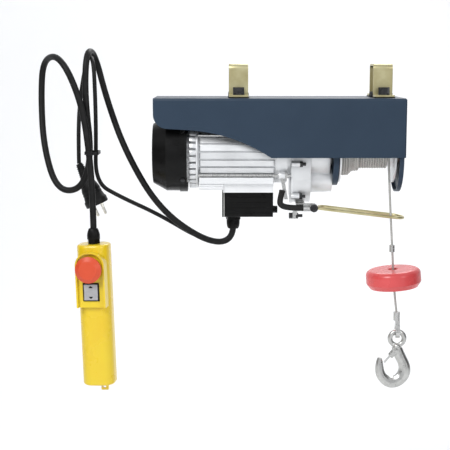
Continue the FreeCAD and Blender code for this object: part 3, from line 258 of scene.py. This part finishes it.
lead_rubber, shader, place = finish("lead_rubber", Specular_IOR_Level=0.12)
scuffs = noise(place, 95, 5)
grain = noise(place, 1400, 2)
feed(shader, Base_Color=blended(scuffs, (0.006, 0.006, 0.006), (0.020, 0.020, 0.020)),
     Roughness=0.34 + scuffs * 0.22, Height=grain + scuffs * 0.6, Depth=0.00006)

PENDANT_THICK = 0.010
pendant = nurbs_line("pendant_lead", [
    (-0.12, -0.0038, -0.206), (-0.122, -0.004, -0.231), (-0.167, -0.007, -0.228),
    (-0.238, -0.01, -0.176), (-0.29, 0, -0.088), (-0.322, 0.027, -0.005), (-0.341, 0.031, 0.071),
    (-0.347, -0.029, 0.071), (-0.35, -0.03, 0), (-0.341, -0.027, -0.092), (-0.359, -0.024, -0.145),
    (-0.399, -0.014, -0.146), (-0.421, 0.006, -0.08), (-0.427, 0.027, -0.002),
    (-0.423, 0.031, 0.06), (-0.385, -0.038, 0.065), (-0.353, -0.042, -0.008),
    (-0.342, -0.043, -0.095), (-0.3386, -0.045, -0.165), (-0.3382, -0.045, -0.205),
], PENDANT_THICK)
coat(lead_rubber, "cable_rubber", pendant)
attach(pendant, "frame")
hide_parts("pendant_cable")

# --- Mains lead and plug --------------------------------------------------------------------
# A thinner rubber lead beside the other, over the beam once, with a moulded two-pin plug. A
# nylon tie holds both leads and the plug's lead together under the beam.

MAINS_THICK = 0.0065
mains = nurbs_line("mains_lead", [
    (-0.120, 0.0053, -0.206), (-0.123, 0.006, -0.231), (-0.170, 0.008, -0.229),
    (-0.238, 0.009, -0.188), (-0.300, 0, -0.158), (-0.338, -0.011, -0.134), (-0.335, -0.017, -0.060),
    (-0.334, -0.030, 0.008), (-0.336, -0.030, 0.062), (-0.353, 0.029, 0.062), (-0.365, 0.027, -0.004),
    (-0.367, 0.014, -0.062), (-0.366, 0.010, -0.106),
], MAINS_THICK)
coat(lead_rubber, "cable_rubber", mains)
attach(mains, "frame")
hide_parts("mains_cable")


def turned(name, profile, middle, axis, steps=64):
    """A turned piece. The profile's (along, radius) points run round its section, and it
    closes on itself unless its ends are on the axis."""
    way = Vector(axis).normalized()
    side = way.orthogonal().normalized()
    other = way.cross(side)
    corners, faces, count = [], [], len(profile)
    for step in range(steps):
        turn = math.tau * step / steps
        out = side * math.cos(turn) + other * math.sin(turn)
        corners += [Vector(middle) + way * along + out * radius for along, radius in profile]
    closed = profile[0][1] > 1e-6 or profile[-1][1] > 1e-6
    for step in range(steps):
        here, there = step * count, (step + 1) % steps * count
        for i in range(count if closed else count - 1):
            j = (i + 1) % count
            faces.append((here + i, here + j, there + j, there + i))
    return solid(name, corners, faces)


def joined(name, pieces):
    """Several mesh pieces as one, each shell kept closed."""
    work = bmesh.new()
    for piece in pieces:
        work.from_mesh(piece.data)
        old = piece.data
        bpy.data.objects.remove(piece)
        bpy.data.meshes.remove(old)
    mesh = bpy.data.meshes.new(name)
    work.to_mesh(mesh)
    work.free()
    whole = bpy.data.objects.new(name, mesh)
    scene.collection.objects.link(whole)
    return whole


PLUG_LEAN, PLUG_LONG, PIN_LONG = math.radians(23.5), 0.0713, 0.019
plug_start = Vector((-0.366, 0.010, -0.106))
plug_way = Vector((math.sin(PLUG_LEAN), 0, -math.cos(PLUG_LEAN)))
relief = [(0.0, 0.0036), (0.0, 0.0050)]
for rib in range(6):
    along, radius = 0.003 + rib * 0.0032, 0.0052 + rib * 0.0004
    relief += [(along, radius), (along + 0.0004, radius + 0.0009), (along + 0.0018, radius + 0.0009),
               (along + 0.0022, radius)]
plug_body = turned("plug_body", relief + [
    (0.0235, 0.0085), (0.027, 0.0098), (0.034, 0.0121), (0.044, 0.0151), (0.0475, 0.0155),
    (0.0485, 0.0149), (0.0495, 0.0155), (0.0525, 0.0158), (0.0535, 0.0152), (0.0545, 0.0158),
    (0.060, 0.0168), (0.062, 0.0183), (0.0632, 0.0186), (0.0700, 0.0186), (PLUG_LONG, 0.0178),
    (PLUG_LONG, 0.0155), (PLUG_LONG - 0.0006, 0.0150), (PLUG_LONG - 0.0006, 0.0),
    (0.008, 0.0), (0.008, 0.0036),
], plug_start, plug_way)
PIN_TURN = math.radians(40)
back = Vector((0, 1, 0))
pin_side = back * math.sin(PIN_TURN) - plug_way.cross(back) * math.cos(PIN_TURN)
pins = []
for sign in (-1, 1):
    foot = plug_start + plug_way * (PLUG_LONG - 0.002) + pin_side * (sign * 0.0095)
    pins.append(turned("pin", [
        (0, 0), (0, 0.0033), (0.0034, 0.0033), (0.0040, 0.0024), (PIN_LONG, 0.0024),
        (PIN_LONG + 0.0012, 0.0019), (PIN_LONG + 0.002, 0.0009), (PIN_LONG + 0.002, 0),
    ], foot, plug_way, 32))
plug_pins = joined("plug_pins", pins)

nickel, shader, place = finish("plug_pin_nickel", Metallic=1.0)
rubs = noise(place, 260, 4)
feed(shader, Base_Color=blended(rubs, (0.62, 0.60, 0.55), (0.80, 0.78, 0.72)), Roughness=0.18 + rubs * 0.2)
coat(nickel, "bright_steel", plug_pins)
coat(lead_rubber, "cable_rubber", plug_body)
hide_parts("mains_plug")
for piece in (plug_body, plug_pins):
    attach(piece, "frame")

black_nylon, shader, place = finish("black_nylon", Specular_IOR_Level=0.14)
leather = place.add("ShaderNodeTexVoronoi", {}, {"Vector": place, "Scale": 900})
cloud = noise(place, 55, 4)
feed(shader, Base_Color=blended(cloud, (0.006, 0.006, 0.0065), (0.020, 0.020, 0.021)),
     Roughness=0.30 + cloud * 0.22, Height=leather, Depth=0.00008)
coat(black_nylon, "black_plastic", "cable_tie")

# --- Hoisting rope --------------------------------------------------------------------------
# Galvanised steel rope of six strands laid round a core, 3.5 mm thick. It leaves the front of
# the drum, hangs a little slack beside the light hook, and ends in a pressed ferrule.

ROPE_THICK, ROPE_LAY, STRANDS, POINTS_A_STRAND = 0.0035, 0.024, 6, 4
CROWN, GROOVE = 1.04, 0.16
ROPE_START, ROPE_END = (0.1233, -0.023, -0.0905), (0.1411, -0.023, -0.343)


def read_line(name, points, fineness):
    """Points along one smooth line with these control points, read back from the line itself."""
    guide = nurbs_line(name, points, 0)
    guide.data.resolution_u = fineness
    mesh = bpy.data.meshes.new_from_object(guide)
    spots = [vertex.co.copy() for vertex in mesh.vertices]
    curve = guide.data
    bpy.data.objects.remove(guide)
    bpy.data.curves.remove(curve)
    bpy.data.meshes.remove(mesh)
    return spots


def laid_rope(name, line):
    """A closed rope surface along a line of points: lobes for the strands, which turn with the
    lay. Its crest attribute is 1 on a strand and 0 in a groove."""
    sides = STRANDS * POINTS_A_STRAND
    corners, crests, travelled = [], [], 0.0
    side = (line[1] - line[0]).orthogonal().normalized()
    for i, spot in enumerate(line):
        ahead = (line[min(i + 1, len(line) - 1)] - line[max(i - 1, 0)]).normalized()
        side = (side - ahead * side.dot(ahead)).normalized()
        across = ahead.cross(side)
        travelled += (spot - line[i - 1]).length if i else 0.0
        for corner in range(sides):
            turn = math.tau * corner / sides
            crest = abs(math.sin(turn * STRANDS / 2 + math.pi / (2 * POINTS_A_STRAND)))
            radius = ROPE_THICK / 2 * CROWN * (1 - GROOVE + GROOVE * crest)
            laid = turn + math.tau * travelled / ROPE_LAY
            corners.append(spot + (side * math.cos(laid) + across * math.sin(laid)) * radius)
            crests.append(crest)
    faces = [tuple(range(sides - 1, -1, -1)), tuple(range(len(corners) - sides, len(corners)))]
    for i in range(len(line) - 1):
        for corner in range(sides):
            following = (corner + 1) % sides
            faces.append((i * sides + corner, i * sides + following, (i + 1) * sides + following,
                          (i + 1) * sides + corner))
    rope = solid(name, corners, faces)
    crest_layer = rope.data.attributes.new("crest", "FLOAT", "POINT")
    crest_layer.data.foreach_set("value", crests)
    return rope


# The rope's base colour is near black in the grooves between strands and light on their crests: painted
# shade, read from the crest attribute. The dirt noise varies the crests' tone at random.
rope_wire, shader, place = finish("galvanised_rope", Metallic=0.55)
crest = place.add("ShaderNodeAttribute", {"attribute_name": "crest"}, {}, "Fac")
dirt = noise(place, 120, 4)
feed(shader, Base_Color=blended(crest * (0.60 + dirt * 0.6), (0.06, 0.058, 0.05), (0.80, 0.79, 0.76)),
     Roughness=0.34 + dirt * 0.3)

fall_line = read_line("fall_guide", [
    ROPE_START, (0.1235, -0.023, -0.1017), (0.127, -0.023, -0.165), (0.1314, -0.023, -0.2318),
    (0.1349, -0.023, -0.285), (0.1374, -0.023, -0.315), ROPE_END,
], 32)
rope = laid_rope("hoisting_rope", fall_line)
coat(rope_wire, "wire_rope", rope)
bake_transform(rope)
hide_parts("rope_fall", "rope_tail")

# --- Rope on the drum -----------------------------------------------------------------------
# The same rope wound on the drum: one even layer to the right, and crossed turns heaped
# against the left flange, where it was reeled in without a load.

DRUM_AXIS, WINDING_PITCH, POINTS_A_TURN = -0.0885, 0.0039, 12


def wound_line(name, runs, wander):
    """A line wound round the drum: each run is its first x, last x and first and last radius."""
    chance, points, steps_round = random.Random(7), [], 0
    for first, last, low, high in runs:
        count = max(6, round(abs(last - first) / WINDING_PITCH * POINTS_A_TURN))
        for step in range(count):
            share = step / count
            turn = math.tau * steps_round / POINTS_A_TURN
            radius = low + (high - low) * share + chance.uniform(0, wander) * 0.5
            along = first + (last - first) * share + chance.uniform(-wander, wander)
            points.append((along, -radius * math.cos(turn), DRUM_AXIS + radius * math.sin(turn)))
            steps_round += 1
    return read_line(name, points, 5)


even = laid_rope("even_layer", wound_line("even_guide", [(0.1233, 0.0502, 0.023, 0.023)], 0))
heaped = laid_rope("heaped_layers", wound_line("heap_guide", [
    (0.0502, 0.0762, 0.0262, 0.0264), (0.0762, 0.0502, 0.0268, 0.0292), (0.0502, 0.0655, 0.0300, 0.0302),
    (0.0655, 0.0502, 0.0312, 0.0322), (0.0502, 0.0610, 0.0335, 0.0338), (0.0610, 0.0520, 0.0340, 0.0345),
], 0.0007))
windings = joined("wound_rope", [even, heaped])
coat(rope_wire, "wire_rope", windings)
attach(windings, "drum")
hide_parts("rope_windings")

# --- Beam clamps ----------------------------------------------------------------------------
# Two bent steel straps with yellow passivated zinc hold the hoist up to a square beam. Each is
# drawn down by two bolts, and ribbed rubber pads keep the beam from sliding.


def grown(name, tree, **values):
    """A plain mesh piece grown by a tree, with the tree's named inputs set to these values."""
    host = bpy.data.objects.new(name, bpy.data.meshes.new(name))
    scene.collection.objects.link(host)
    modifier = host.modifiers.new("grow", "NODES")
    modifier.node_group = tree
    for item in tree.interface.items_tree:
        if item.in_out == "INPUT":
            modifier[item.identifier] = values[item.name]
    mesh = bpy.data.meshes.new_from_object(host.evaluated_get(bpy.context.evaluated_depsgraph_get()))
    host.modifiers.clear()
    host.data = mesh
    return host


def growing_tree(name, inputs):
    """A Geometry Nodes tree with these named inputs, and a wire from each."""
    tree = bpy.data.node_groups.new(name, "GeometryNodeTree")
    for word, kind in inputs.items():
        tree.interface.new_socket(word, in_out="INPUT", socket_type="NodeSocket" + kind)
    tree.interface.new_socket("Geometry", in_out="OUTPUT", socket_type="NodeSocketGeometry")
    source = tree.nodes.new("NodeGroupInput")
    return tree, {word: Wire(tree, source.outputs[word]) for word in inputs}


def placed_elements(tree, given, count, place, turn):
    """Ends a tree: its Element stands at each place with its turn, realised and painted."""
    spots = count.add("GeometryNodePoints", {}, {"Count": count, "Position": place})
    element = count.add("GeometryNodeObjectInfo", {}, {"Object": given["Element"]}, "Geometry")
    copies = count.add("GeometryNodeInstanceOnPoints", {},
                       {"Points": spots, "Instance": element, "Rotation": turn})
    plain = count.add("GeometryNodeRealizeInstances", {}, {"Geometry": copies})
    painted = count.add("GeometryNodeSetMaterial", {}, {"Geometry": plain, "Material": given["Material"]})
    tree.links.new(painted.socket, tree.nodes.new("NodeGroupOutput").inputs["Geometry"])


row_array, given = growing_tree("row_array", {
    "Element": "Object", "Material": "Material", "Count": "Int", "Start": "Vector", "Step": "Vector",
})
index = given["Count"].add("GeometryNodeInputIndex", {}, {})
stride = index.add("ShaderNodeVectorMath", {"operation": "SCALE"}, {0: given["Step"], "Scale": index})
spot = index.add("ShaderNodeVectorMath", {"operation": "ADD"}, {0: given["Start"], 1: stride})
placed_elements(row_array, given, given["Count"], spot, (0, 0, 0))


def block(name, low, high, bend=0.0, steps=2):
    """A box between two corners with every edge rounded."""
    corners = [(x, y, z) for x in (low[0], high[0]) for y in (low[1], high[1]) for z in (low[2], high[2])]
    piece = solid(name, corners, [
        (0, 1, 3, 2), (4, 6, 7, 5), (0, 4, 5, 1), (2, 3, 7, 6), (0, 2, 6, 4), (1, 5, 7, 3),
    ])
    if bend:
        work = bmesh.new()
        work.from_mesh(piece.data)
        bmesh.ops.bevel(work, geom=work.edges[:], offset=bend, segments=steps, profile=0.5, affect="EDGES")
        work.to_mesh(piece.data)
        work.free()
        piece.data.polygons.foreach_set("use_smooth", [True] * len(piece.data.polygons))
        piece.data.set_sharp_from_angle(angle=math.radians(50))
    return piece


def softened(width, *nodes):
    """Rounds the folds of boxy CAD nodes with a small bevel."""
    for name in nodes:
        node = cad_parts[name]
        weld = node.modifiers.new("weld", "WELD")
        weld.merge_threshold = 0.00001
        bevel = node.modifiers.new("soft_edges", "BEVEL")
        bevel.width, bevel.segments = width, 2
        bevel.limit_method, bevel.angle_limit = "ANGLE", math.radians(40)
        bevel.use_clamp_overlap = True


yellow_zinc, shader, place = finish("yellow_zinc", Metallic=0.8)
bloom = noise(place, 42, 5)
brushed = noise(place, 900, 2)
feed(shader, Base_Color=blended(bloom, (0.32, 0.25, 0.09), (0.72, 0.69, 0.44)),
     Roughness=0.26 + bloom * 0.16 + brushed * 0.08, Height=brushed, Depth=0.00003)
coat(yellow_zinc, "yellow_zinc", "clamp_saddles")
softened(0.0004, "clamp_saddles")

dark_bolt, shader, place = finish("dark_bolt_steel", Metallic=0.6, Specular_IOR_Level=0.2)
wear = noise(place, 210, 4)
feed(shader, Base_Color=blended(wear, (0.012, 0.012, 0.013), (0.080, 0.080, 0.082)),
     Roughness=0.24 + wear * 0.22)
coat(dark_bolt, "bolt_steel", "clamp_bolts", "housing_screws", "lever_bolts", "brake_magnet", "brake_disc")

pad_rubber, shader, place = finish("pad_rubber", Specular_IOR_Level=0.12)
dust = noise(place, 75, 5)
feed(shader, Base_Color=blended(dust, (0.008, 0.008, 0.008), (0.032, 0.031, 0.030)),
     Roughness=0.55 + dust * 0.3,
     Height=noise(place, 1600, 2), Depth=0.00005)
pad_rib = block("pad_rib", (-0.0006, -0.0196, 0), (0.0006, 0.0196, 0.0018), 0.0005)
pads = []
for at in (-0.112, 0.112):
    pads.append(block("pad_block", (at - 0.016, -0.020, 0.0003), (at + 0.016, 0.020, 0.0071), 0.0012, 3))
    pads.append(block("pad_sheet", (at - 0.016, -0.050, 0.0001), (at + 0.016, -0.0195, 0.0016), 0.0004))
    pads.append(block("pad_sheet", (at - 0.016, 0.0195, 0.0001), (at + 0.016, 0.050, 0.0016), 0.0004))
    pads.append(grown("pad_ribs", row_array, Element=pad_rib, Material=pad_rubber, Count=12,
                      Start=(at - 0.01485, 0, 0.0068), Step=(0.0027, 0, 0)))
ribbed_pads = joined("ribbed_pads", pads)
bpy.data.objects.remove(pad_rib)
coat(pad_rubber, "black_rubber", ribbed_pads)
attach(ribbed_pads, "frame")
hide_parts("clamp_pads")

# --- Cover and carrier frame ----------------------------------------------------------------
# Folded sheet steel in dark blue powder paint, open at both ends, over three legs that carry
# the motor, the gearbox and the drum's far bearing.

blue_paint, shader, place = finish("blue_powder_paint", Specular_IOR_Level=0.2)
peel = noise(place, 620, 2)
shade = noise(place, 14, 3)
feed(shader, Base_Color=blended(shade, (0.020, 0.036, 0.060), (0.030, 0.050, 0.080)),
     Roughness=0.33 + peel * 0.14,
     Height=peel, Depth=0.00008)
coat(blue_paint, "blue_paint", "cover", "carrier_frame")
softened(0.0006, "cover")

# --- Motor ----------------------------------------------------------------------------------
# A black moulded fan cover, a toothed cast ring, a finned aluminium housing and an end shield,
# all held by long tie rods. The rotor, fan and brake are inside.

ring_array, given = growing_tree("ring_array", {
    "Element": "Object", "Material": "Material", "Count": "Int", "Radius": "Float", "Along": "Float",
    "Height": "Float", "Phase": "Float",
})
index = given["Count"].add("GeometryNodeInputIndex", {}, {})
turn = given["Phase"] + (index * math.tau).sum("DIVIDE", index * math.tau, given["Count"])
spot = index.add("ShaderNodeCombineXYZ", {}, {
    "X": given["Along"], "Y": given["Radius"] * turn.sum("COSINE", turn, 0.0),
    "Z": given["Height"] + given["Radius"] * turn.sum("SINE", turn, 0.0),
})
placed_elements(ring_array, given, given["Count"], spot,
                index.add("ShaderNodeCombineXYZ", {}, {"X": turn}))

cast_metal, shader, place = finish("cast_aluminium", Metallic=0.72)
sand = noise(place, 720, 3)
tone = noise(place, 26, 4)
feed(shader, Base_Color=blended(tone, (0.60, 0.61, 0.62), (0.88, 0.89, 0.90)), Roughness=0.36 + tone * 0.16,
     Height=sand, Depth=0.00022)
fan_black, shader, place = finish("moulded_black", Specular_IOR_Level=0.12)
haze = noise(place, 60, 5)
feed(shader, Base_Color=blended(haze, (0.003, 0.003, 0.003), (0.009, 0.009, 0.009)),
     Roughness=0.20 + haze * 0.20,
     Height=noise(place, 1100, 2), Depth=0.00006)

shield_tooth = block("shield_tooth", (-0.0055, -0.0045, -0.0037), (0.0055, 0.0050, 0.0037), 0.0010)
teeth = grown("shield_teeth", ring_array, Element=shield_tooth, Material=cast_metal, Count=32, Radius=0.0495,
              Along=-0.1832, Height=DRUM_AXIS, Phase=math.tau / 64)
bpy.data.objects.remove(shield_tooth)
shield_ring = turned("shield_ring", [
    (-0.1955, 0.0125), (-0.1955, 0.0460), (-0.1785, 0.0460), (-0.1780, 0.0543), (-0.1756, 0.0543),
    (-0.1750, 0.0536), (-0.1750, 0.0125),
], (0, 0, DRUM_AXIS), (1, 0, 0), 128)
rear_ring = joined("toothed_ring", [teeth, shield_ring])
coat(cast_metal, "cast_aluminium", rear_ring, "motor_housing", "front_shield", "gear_case", "gear_cover")
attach(rear_ring, "frame")
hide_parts("rear_shield")
softened(0.0006, "motor_housing", "front_shield", "gear_case", "gear_cover")
coat(fan_black, "black_plastic", "fan_cover", "cooling_fan", "contact_block", "stop_stem", "handset_switch")

bright_steel, shader, place = finish("bright_steel", Metallic=0.9)
marks = noise(place, 330, 4)
feed(shader, Base_Color=blended(marks, (0.42, 0.42, 0.41), (0.70, 0.70, 0.69)), Roughness=0.18 + marks * 0.22)
coat(bright_steel, "bright_steel", "tie_rods", "stator_core", "bearings", "capacitor", "motor_shaft",
     "rotor_core", "layshaft", "layshaft_wheel", "drum_wheel", "drum_shaft", "rope_ferrules", "lever_bracket",
     "lever_strap", "lever_hub", "thimble")
copper, shader, place = finish("enamelled_copper", Metallic=0.8)
coils = noise(place, 500, 3)
feed(shader, Base_Color=blended(coils, (0.30, 0.10, 0.04), (0.62, 0.28, 0.12)), Roughness=0.28 + coils * 0.2)
coat(copper, "copper", "stator_windings")

# --- Drum, terminal base and switch box -----------------------------------------------------
# The drum and the cast terminal base are sprayed silver. A black switch box is screwed under
# the base with a white gasket and a lid, and both leads leave it through one domed gland.

silver_paint, shader, place = finish("silver_spray", Metallic=0.45)
spray = noise(place, 800, 2)
cloud = noise(place, 24, 4)
feed(shader, Base_Color=blended(cloud, (0.74, 0.75, 0.76), (0.90, 0.91, 0.92)), Roughness=0.34 + spray * 0.16,
     Height=spray, Depth=0.00008)
coat(silver_paint, "silver_paint", "drum", "terminal_base")
white_rubber, shader, place = finish("white_gasket", Specular_IOR_Level=0.3)
soil = noise(place, 140, 4)
feed(shader, Base_Color=blended(soil, (0.52, 0.52, 0.50), (0.78, 0.78, 0.76)), Roughness=0.5 + soil * 0.3)
coat(white_rubber, "white_rubber", "box_gasket")

box_rib = block("box_rib", (0, -0.0006, -0.0004), (0.066, 0.0006, 0.0004), 0.0003)
box_ribs = grown("box_ribs", row_array, Element=box_rib, Material=fan_black, Count=4,
                 Start=(-0.130, -0.0301, -0.1795), Step=(0, 0, 0.0078))
bpy.data.objects.remove(box_rib)
coat(fan_black, "black_plastic", "switch_box", "box_lid", "seal_nut", "rocker_frame", box_ribs)
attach(box_ribs, "frame")
softened(0.0005, "terminal_base", "switch_box", "box_lid", "seal_nut")


FLUTES, FLUTE_DEEP, FLUTES_FROM = 24, 0.035, 0.0078


def gland(name, top, axis, hexagon, dome):
    """A cable gland: a hexagon, and a fluted nut that narrows to the lead."""
    nut = turned("gland_nut", hexagon, top, axis, 6)
    cap = turned("gland_cap", dome, top, axis, 120)
    way = Vector(axis).normalized()
    side = way.orthogonal().normalized()
    other = way.cross(side)
    for vertex in cap.data.vertices:
        arm = vertex.co - Vector(top)
        along = way * arm.dot(way)
        out = arm - along
        if out.length > FLUTES_FROM:
            turn = math.atan2(out.dot(side), out.dot(other))
            vertex.co = Vector(top) + along + out * (1 - FLUTE_DEEP * (0.5 + 0.5 * math.cos(FLUTES * turn)))
    return joined(name, [nut, cap])


box_gland = gland("box_gland", (-0.120, 0, -0.1869), (0, 0, -1),
                  [(-0.006, 0.0062), (-0.006, 0.0078), (0.0, 0.0078), (0.0002, 0.0112), (0.0008, 0.0120),
                   (0.0068, 0.0120), (0.0074, 0.0112), (0.0074, 0.0062)],
                  [(0.0070, 0.0074), (0.0070, 0.0102), (0.0078, 0.0106), (0.0150, 0.0104), (0.0180, 0.0098),
                   (0.0205, 0.0088), (0.0216, 0.0078), (0.0214, 0.0073), (0.0205, 0.0070)])
coat(fan_black, "black_plastic", box_gland)
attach(box_gland, "frame")
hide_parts("cable_gland")

# --- Limit lever ----------------------------------------------------------------------------
# When the stopper disc lifts the wire loop, the lever turns on its bracket and works the limit
# switch. Its short tail wears a thick black rubber sleeve.

SLEEVE_PATH = [(-0.011, -0.040, -0.1705), (-0.030, -0.040, -0.1711), (-0.0475, -0.040, -0.167),
               (-0.0468, -0.040, -0.155), (-0.0438, -0.0415, -0.1435)]
tube = nurbs_line("sleeve_guide", SLEEVE_PATH, 0.0092)
mesh = bpy.data.meshes.new_from_object(tube)
curve = tube.data
bpy.data.objects.remove(tube)
bpy.data.curves.remove(curve)
sleeve_tube = bpy.data.objects.new("sleeve_tube", mesh)
scene.collection.objects.link(sleeve_tube)
lips = []
for here, before in ((0, 1), (-1, -2)):
    end, way = Vector(SLEEVE_PATH[here]), Vector(SLEEVE_PATH[here]) - Vector(SLEEVE_PATH[before])
    lips.append(turned("sleeve_lip", [
        (-0.0026, 0.0040), (-0.0026, 0.0046), (-0.0020, 0.0050), (-0.0004, 0.0050), (0.0002, 0.0046),
        (0.0002, 0.0040),
    ], end, way, 40))
sleeve = joined("rubber_sleeve", [sleeve_tube, *lips])
coat(pad_rubber, "black_rubber", sleeve)
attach(sleeve, "limit_lever")
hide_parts("lever_sleeve")
coat(yellow_zinc, "yellow_zinc", "lever_loop")

# --- Stopper disc and hook ------------------------------------------------------------------
# A solid red plastic disc rides on the rope above the hook. The hook is a forging with bright
# zinc, and a sheet latch closes its mouth.

red_plastic, shader, place = finish("red_plastic", Specular_IOR_Level=0.5)
flow = noise(place, 32, 4)
feed(shader, Base_Color=blended(flow, (0.60, 0.066, 0.070), (0.70, 0.090, 0.092)),
     Roughness=0.20 + flow * 0.14)
coat(red_plastic, "red_plastic", "stopper_disc")
zinc, shader, place = finish("forged_zinc", Metallic=0.85)
scale = noise(place, 150, 5)
feed(shader, Base_Color=blended(scale, (0.36, 0.36, 0.35), (0.66, 0.66, 0.64)), Roughness=0.20 + scale * 0.20,
     Height=scale, Depth=0.0002)
coat(zinc, "forged_zinc", "hook", "hook_latch")

# --- Pendant handset ------------------------------------------------------------------------
# A glossy yellow shell of oval section with a hooded front. It has a red mushroom stop button
# above and a two-way rocker below, and hangs from a gland on its lead.

HANDSET = (Matrix.Translation((-0.338, -0.045, -0.226)) @ Matrix.Rotation(math.radians(-8), 4, "Z")
           @ Matrix.Rotation(math.radians(-1.8), 4, "Y"))
yellow, shader, place = finish("yellow_plastic", Coat_Weight=0.25, Coat_Roughness=0.08)
swirl = noise(place, 22, 4)
feed(shader, Base_Color=blended(swirl, (0.74, 0.47, 0.008), (0.76, 0.60, 0.016)),
     Roughness=0.22 + swirl * 0.12)
coat(yellow, "yellow_plastic", "handset_shell", "handset_bezel")
button_red, shader, place = finish("button_red", Specular_IOR_Level=0.4)
sheen = noise(place, 60, 3)
feed(shader, Base_Color=blended(sheen, (0.58, 0.062, 0.020), (0.66, 0.082, 0.030)),
     Roughness=0.30 + sheen * 0.16)
coat(button_red, "red_plastic", "stop_cap")
rocker_grey, shader, place = finish("rocker_grey", Specular_IOR_Level=0.5)
prints = noise(place, 180, 4)
feed(shader, Base_Color=blended(prints, (0.30, 0.30, 0.31), (0.42, 0.42, 0.43)),
     Roughness=0.26 + prints * 0.2)
coat(rocker_grey, "grey_plastic", "rocker")

ARROW_UP, ROCKER_UP = 0.0068, -0.0715
face = -0.0317 - 0.0016 * 0.55
marks = []
for sign in (1, -1):
    outline = [(-0.0034, 0), (0.0034, 0), (0.0, 0.0042)]
    corners = [
        (x, face + deep, ROCKER_UP + sign * (ARROW_UP + z)) for deep in (-0.0004, 0.0012) for x, z in outline
    ]
    arrow = solid("arrow", corners, [(0, 1, 2), (3, 5, 4), (0, 3, 4, 1), (1, 4, 5, 2), (2, 5, 3, 0)])
    arrow.data.transform(HANDSET)
    marks.append(arrow)
arrows = joined("rocker_arrows", marks)
coat(fan_black, "black_plastic", arrows)
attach(arrows, "rocker")

gland_axis = tuple((HANDSET.to_3x3() @ Vector((0, 0, 1))).normalized())
handset_gland = gland("handset_gland_nut", tuple(HANDSET.translation), gland_axis,
                      [(-0.0055, 0.0060), (-0.0055, 0.0062), (0.0, 0.0062), (0.0, 0.0090), (0.0004, 0.0101),
                       (0.0070, 0.0101), (0.0074, 0.0092), (0.0074, 0.0060)],
                      [(0.0070, 0.0060), (0.0070, 0.0098), (0.0078, 0.0101), (0.0140, 0.0100),
                       (0.0175, 0.0093), (0.0210, 0.0082), (0.0236, 0.0070), (0.0240, 0.0060)])
coat(fan_black, "black_plastic", handset_gland)
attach(handset_gland, "frame")
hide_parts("handset_gland")

size = {"cad": [list(c) for c in cad_bounds], "visual": [list(c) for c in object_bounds()]}
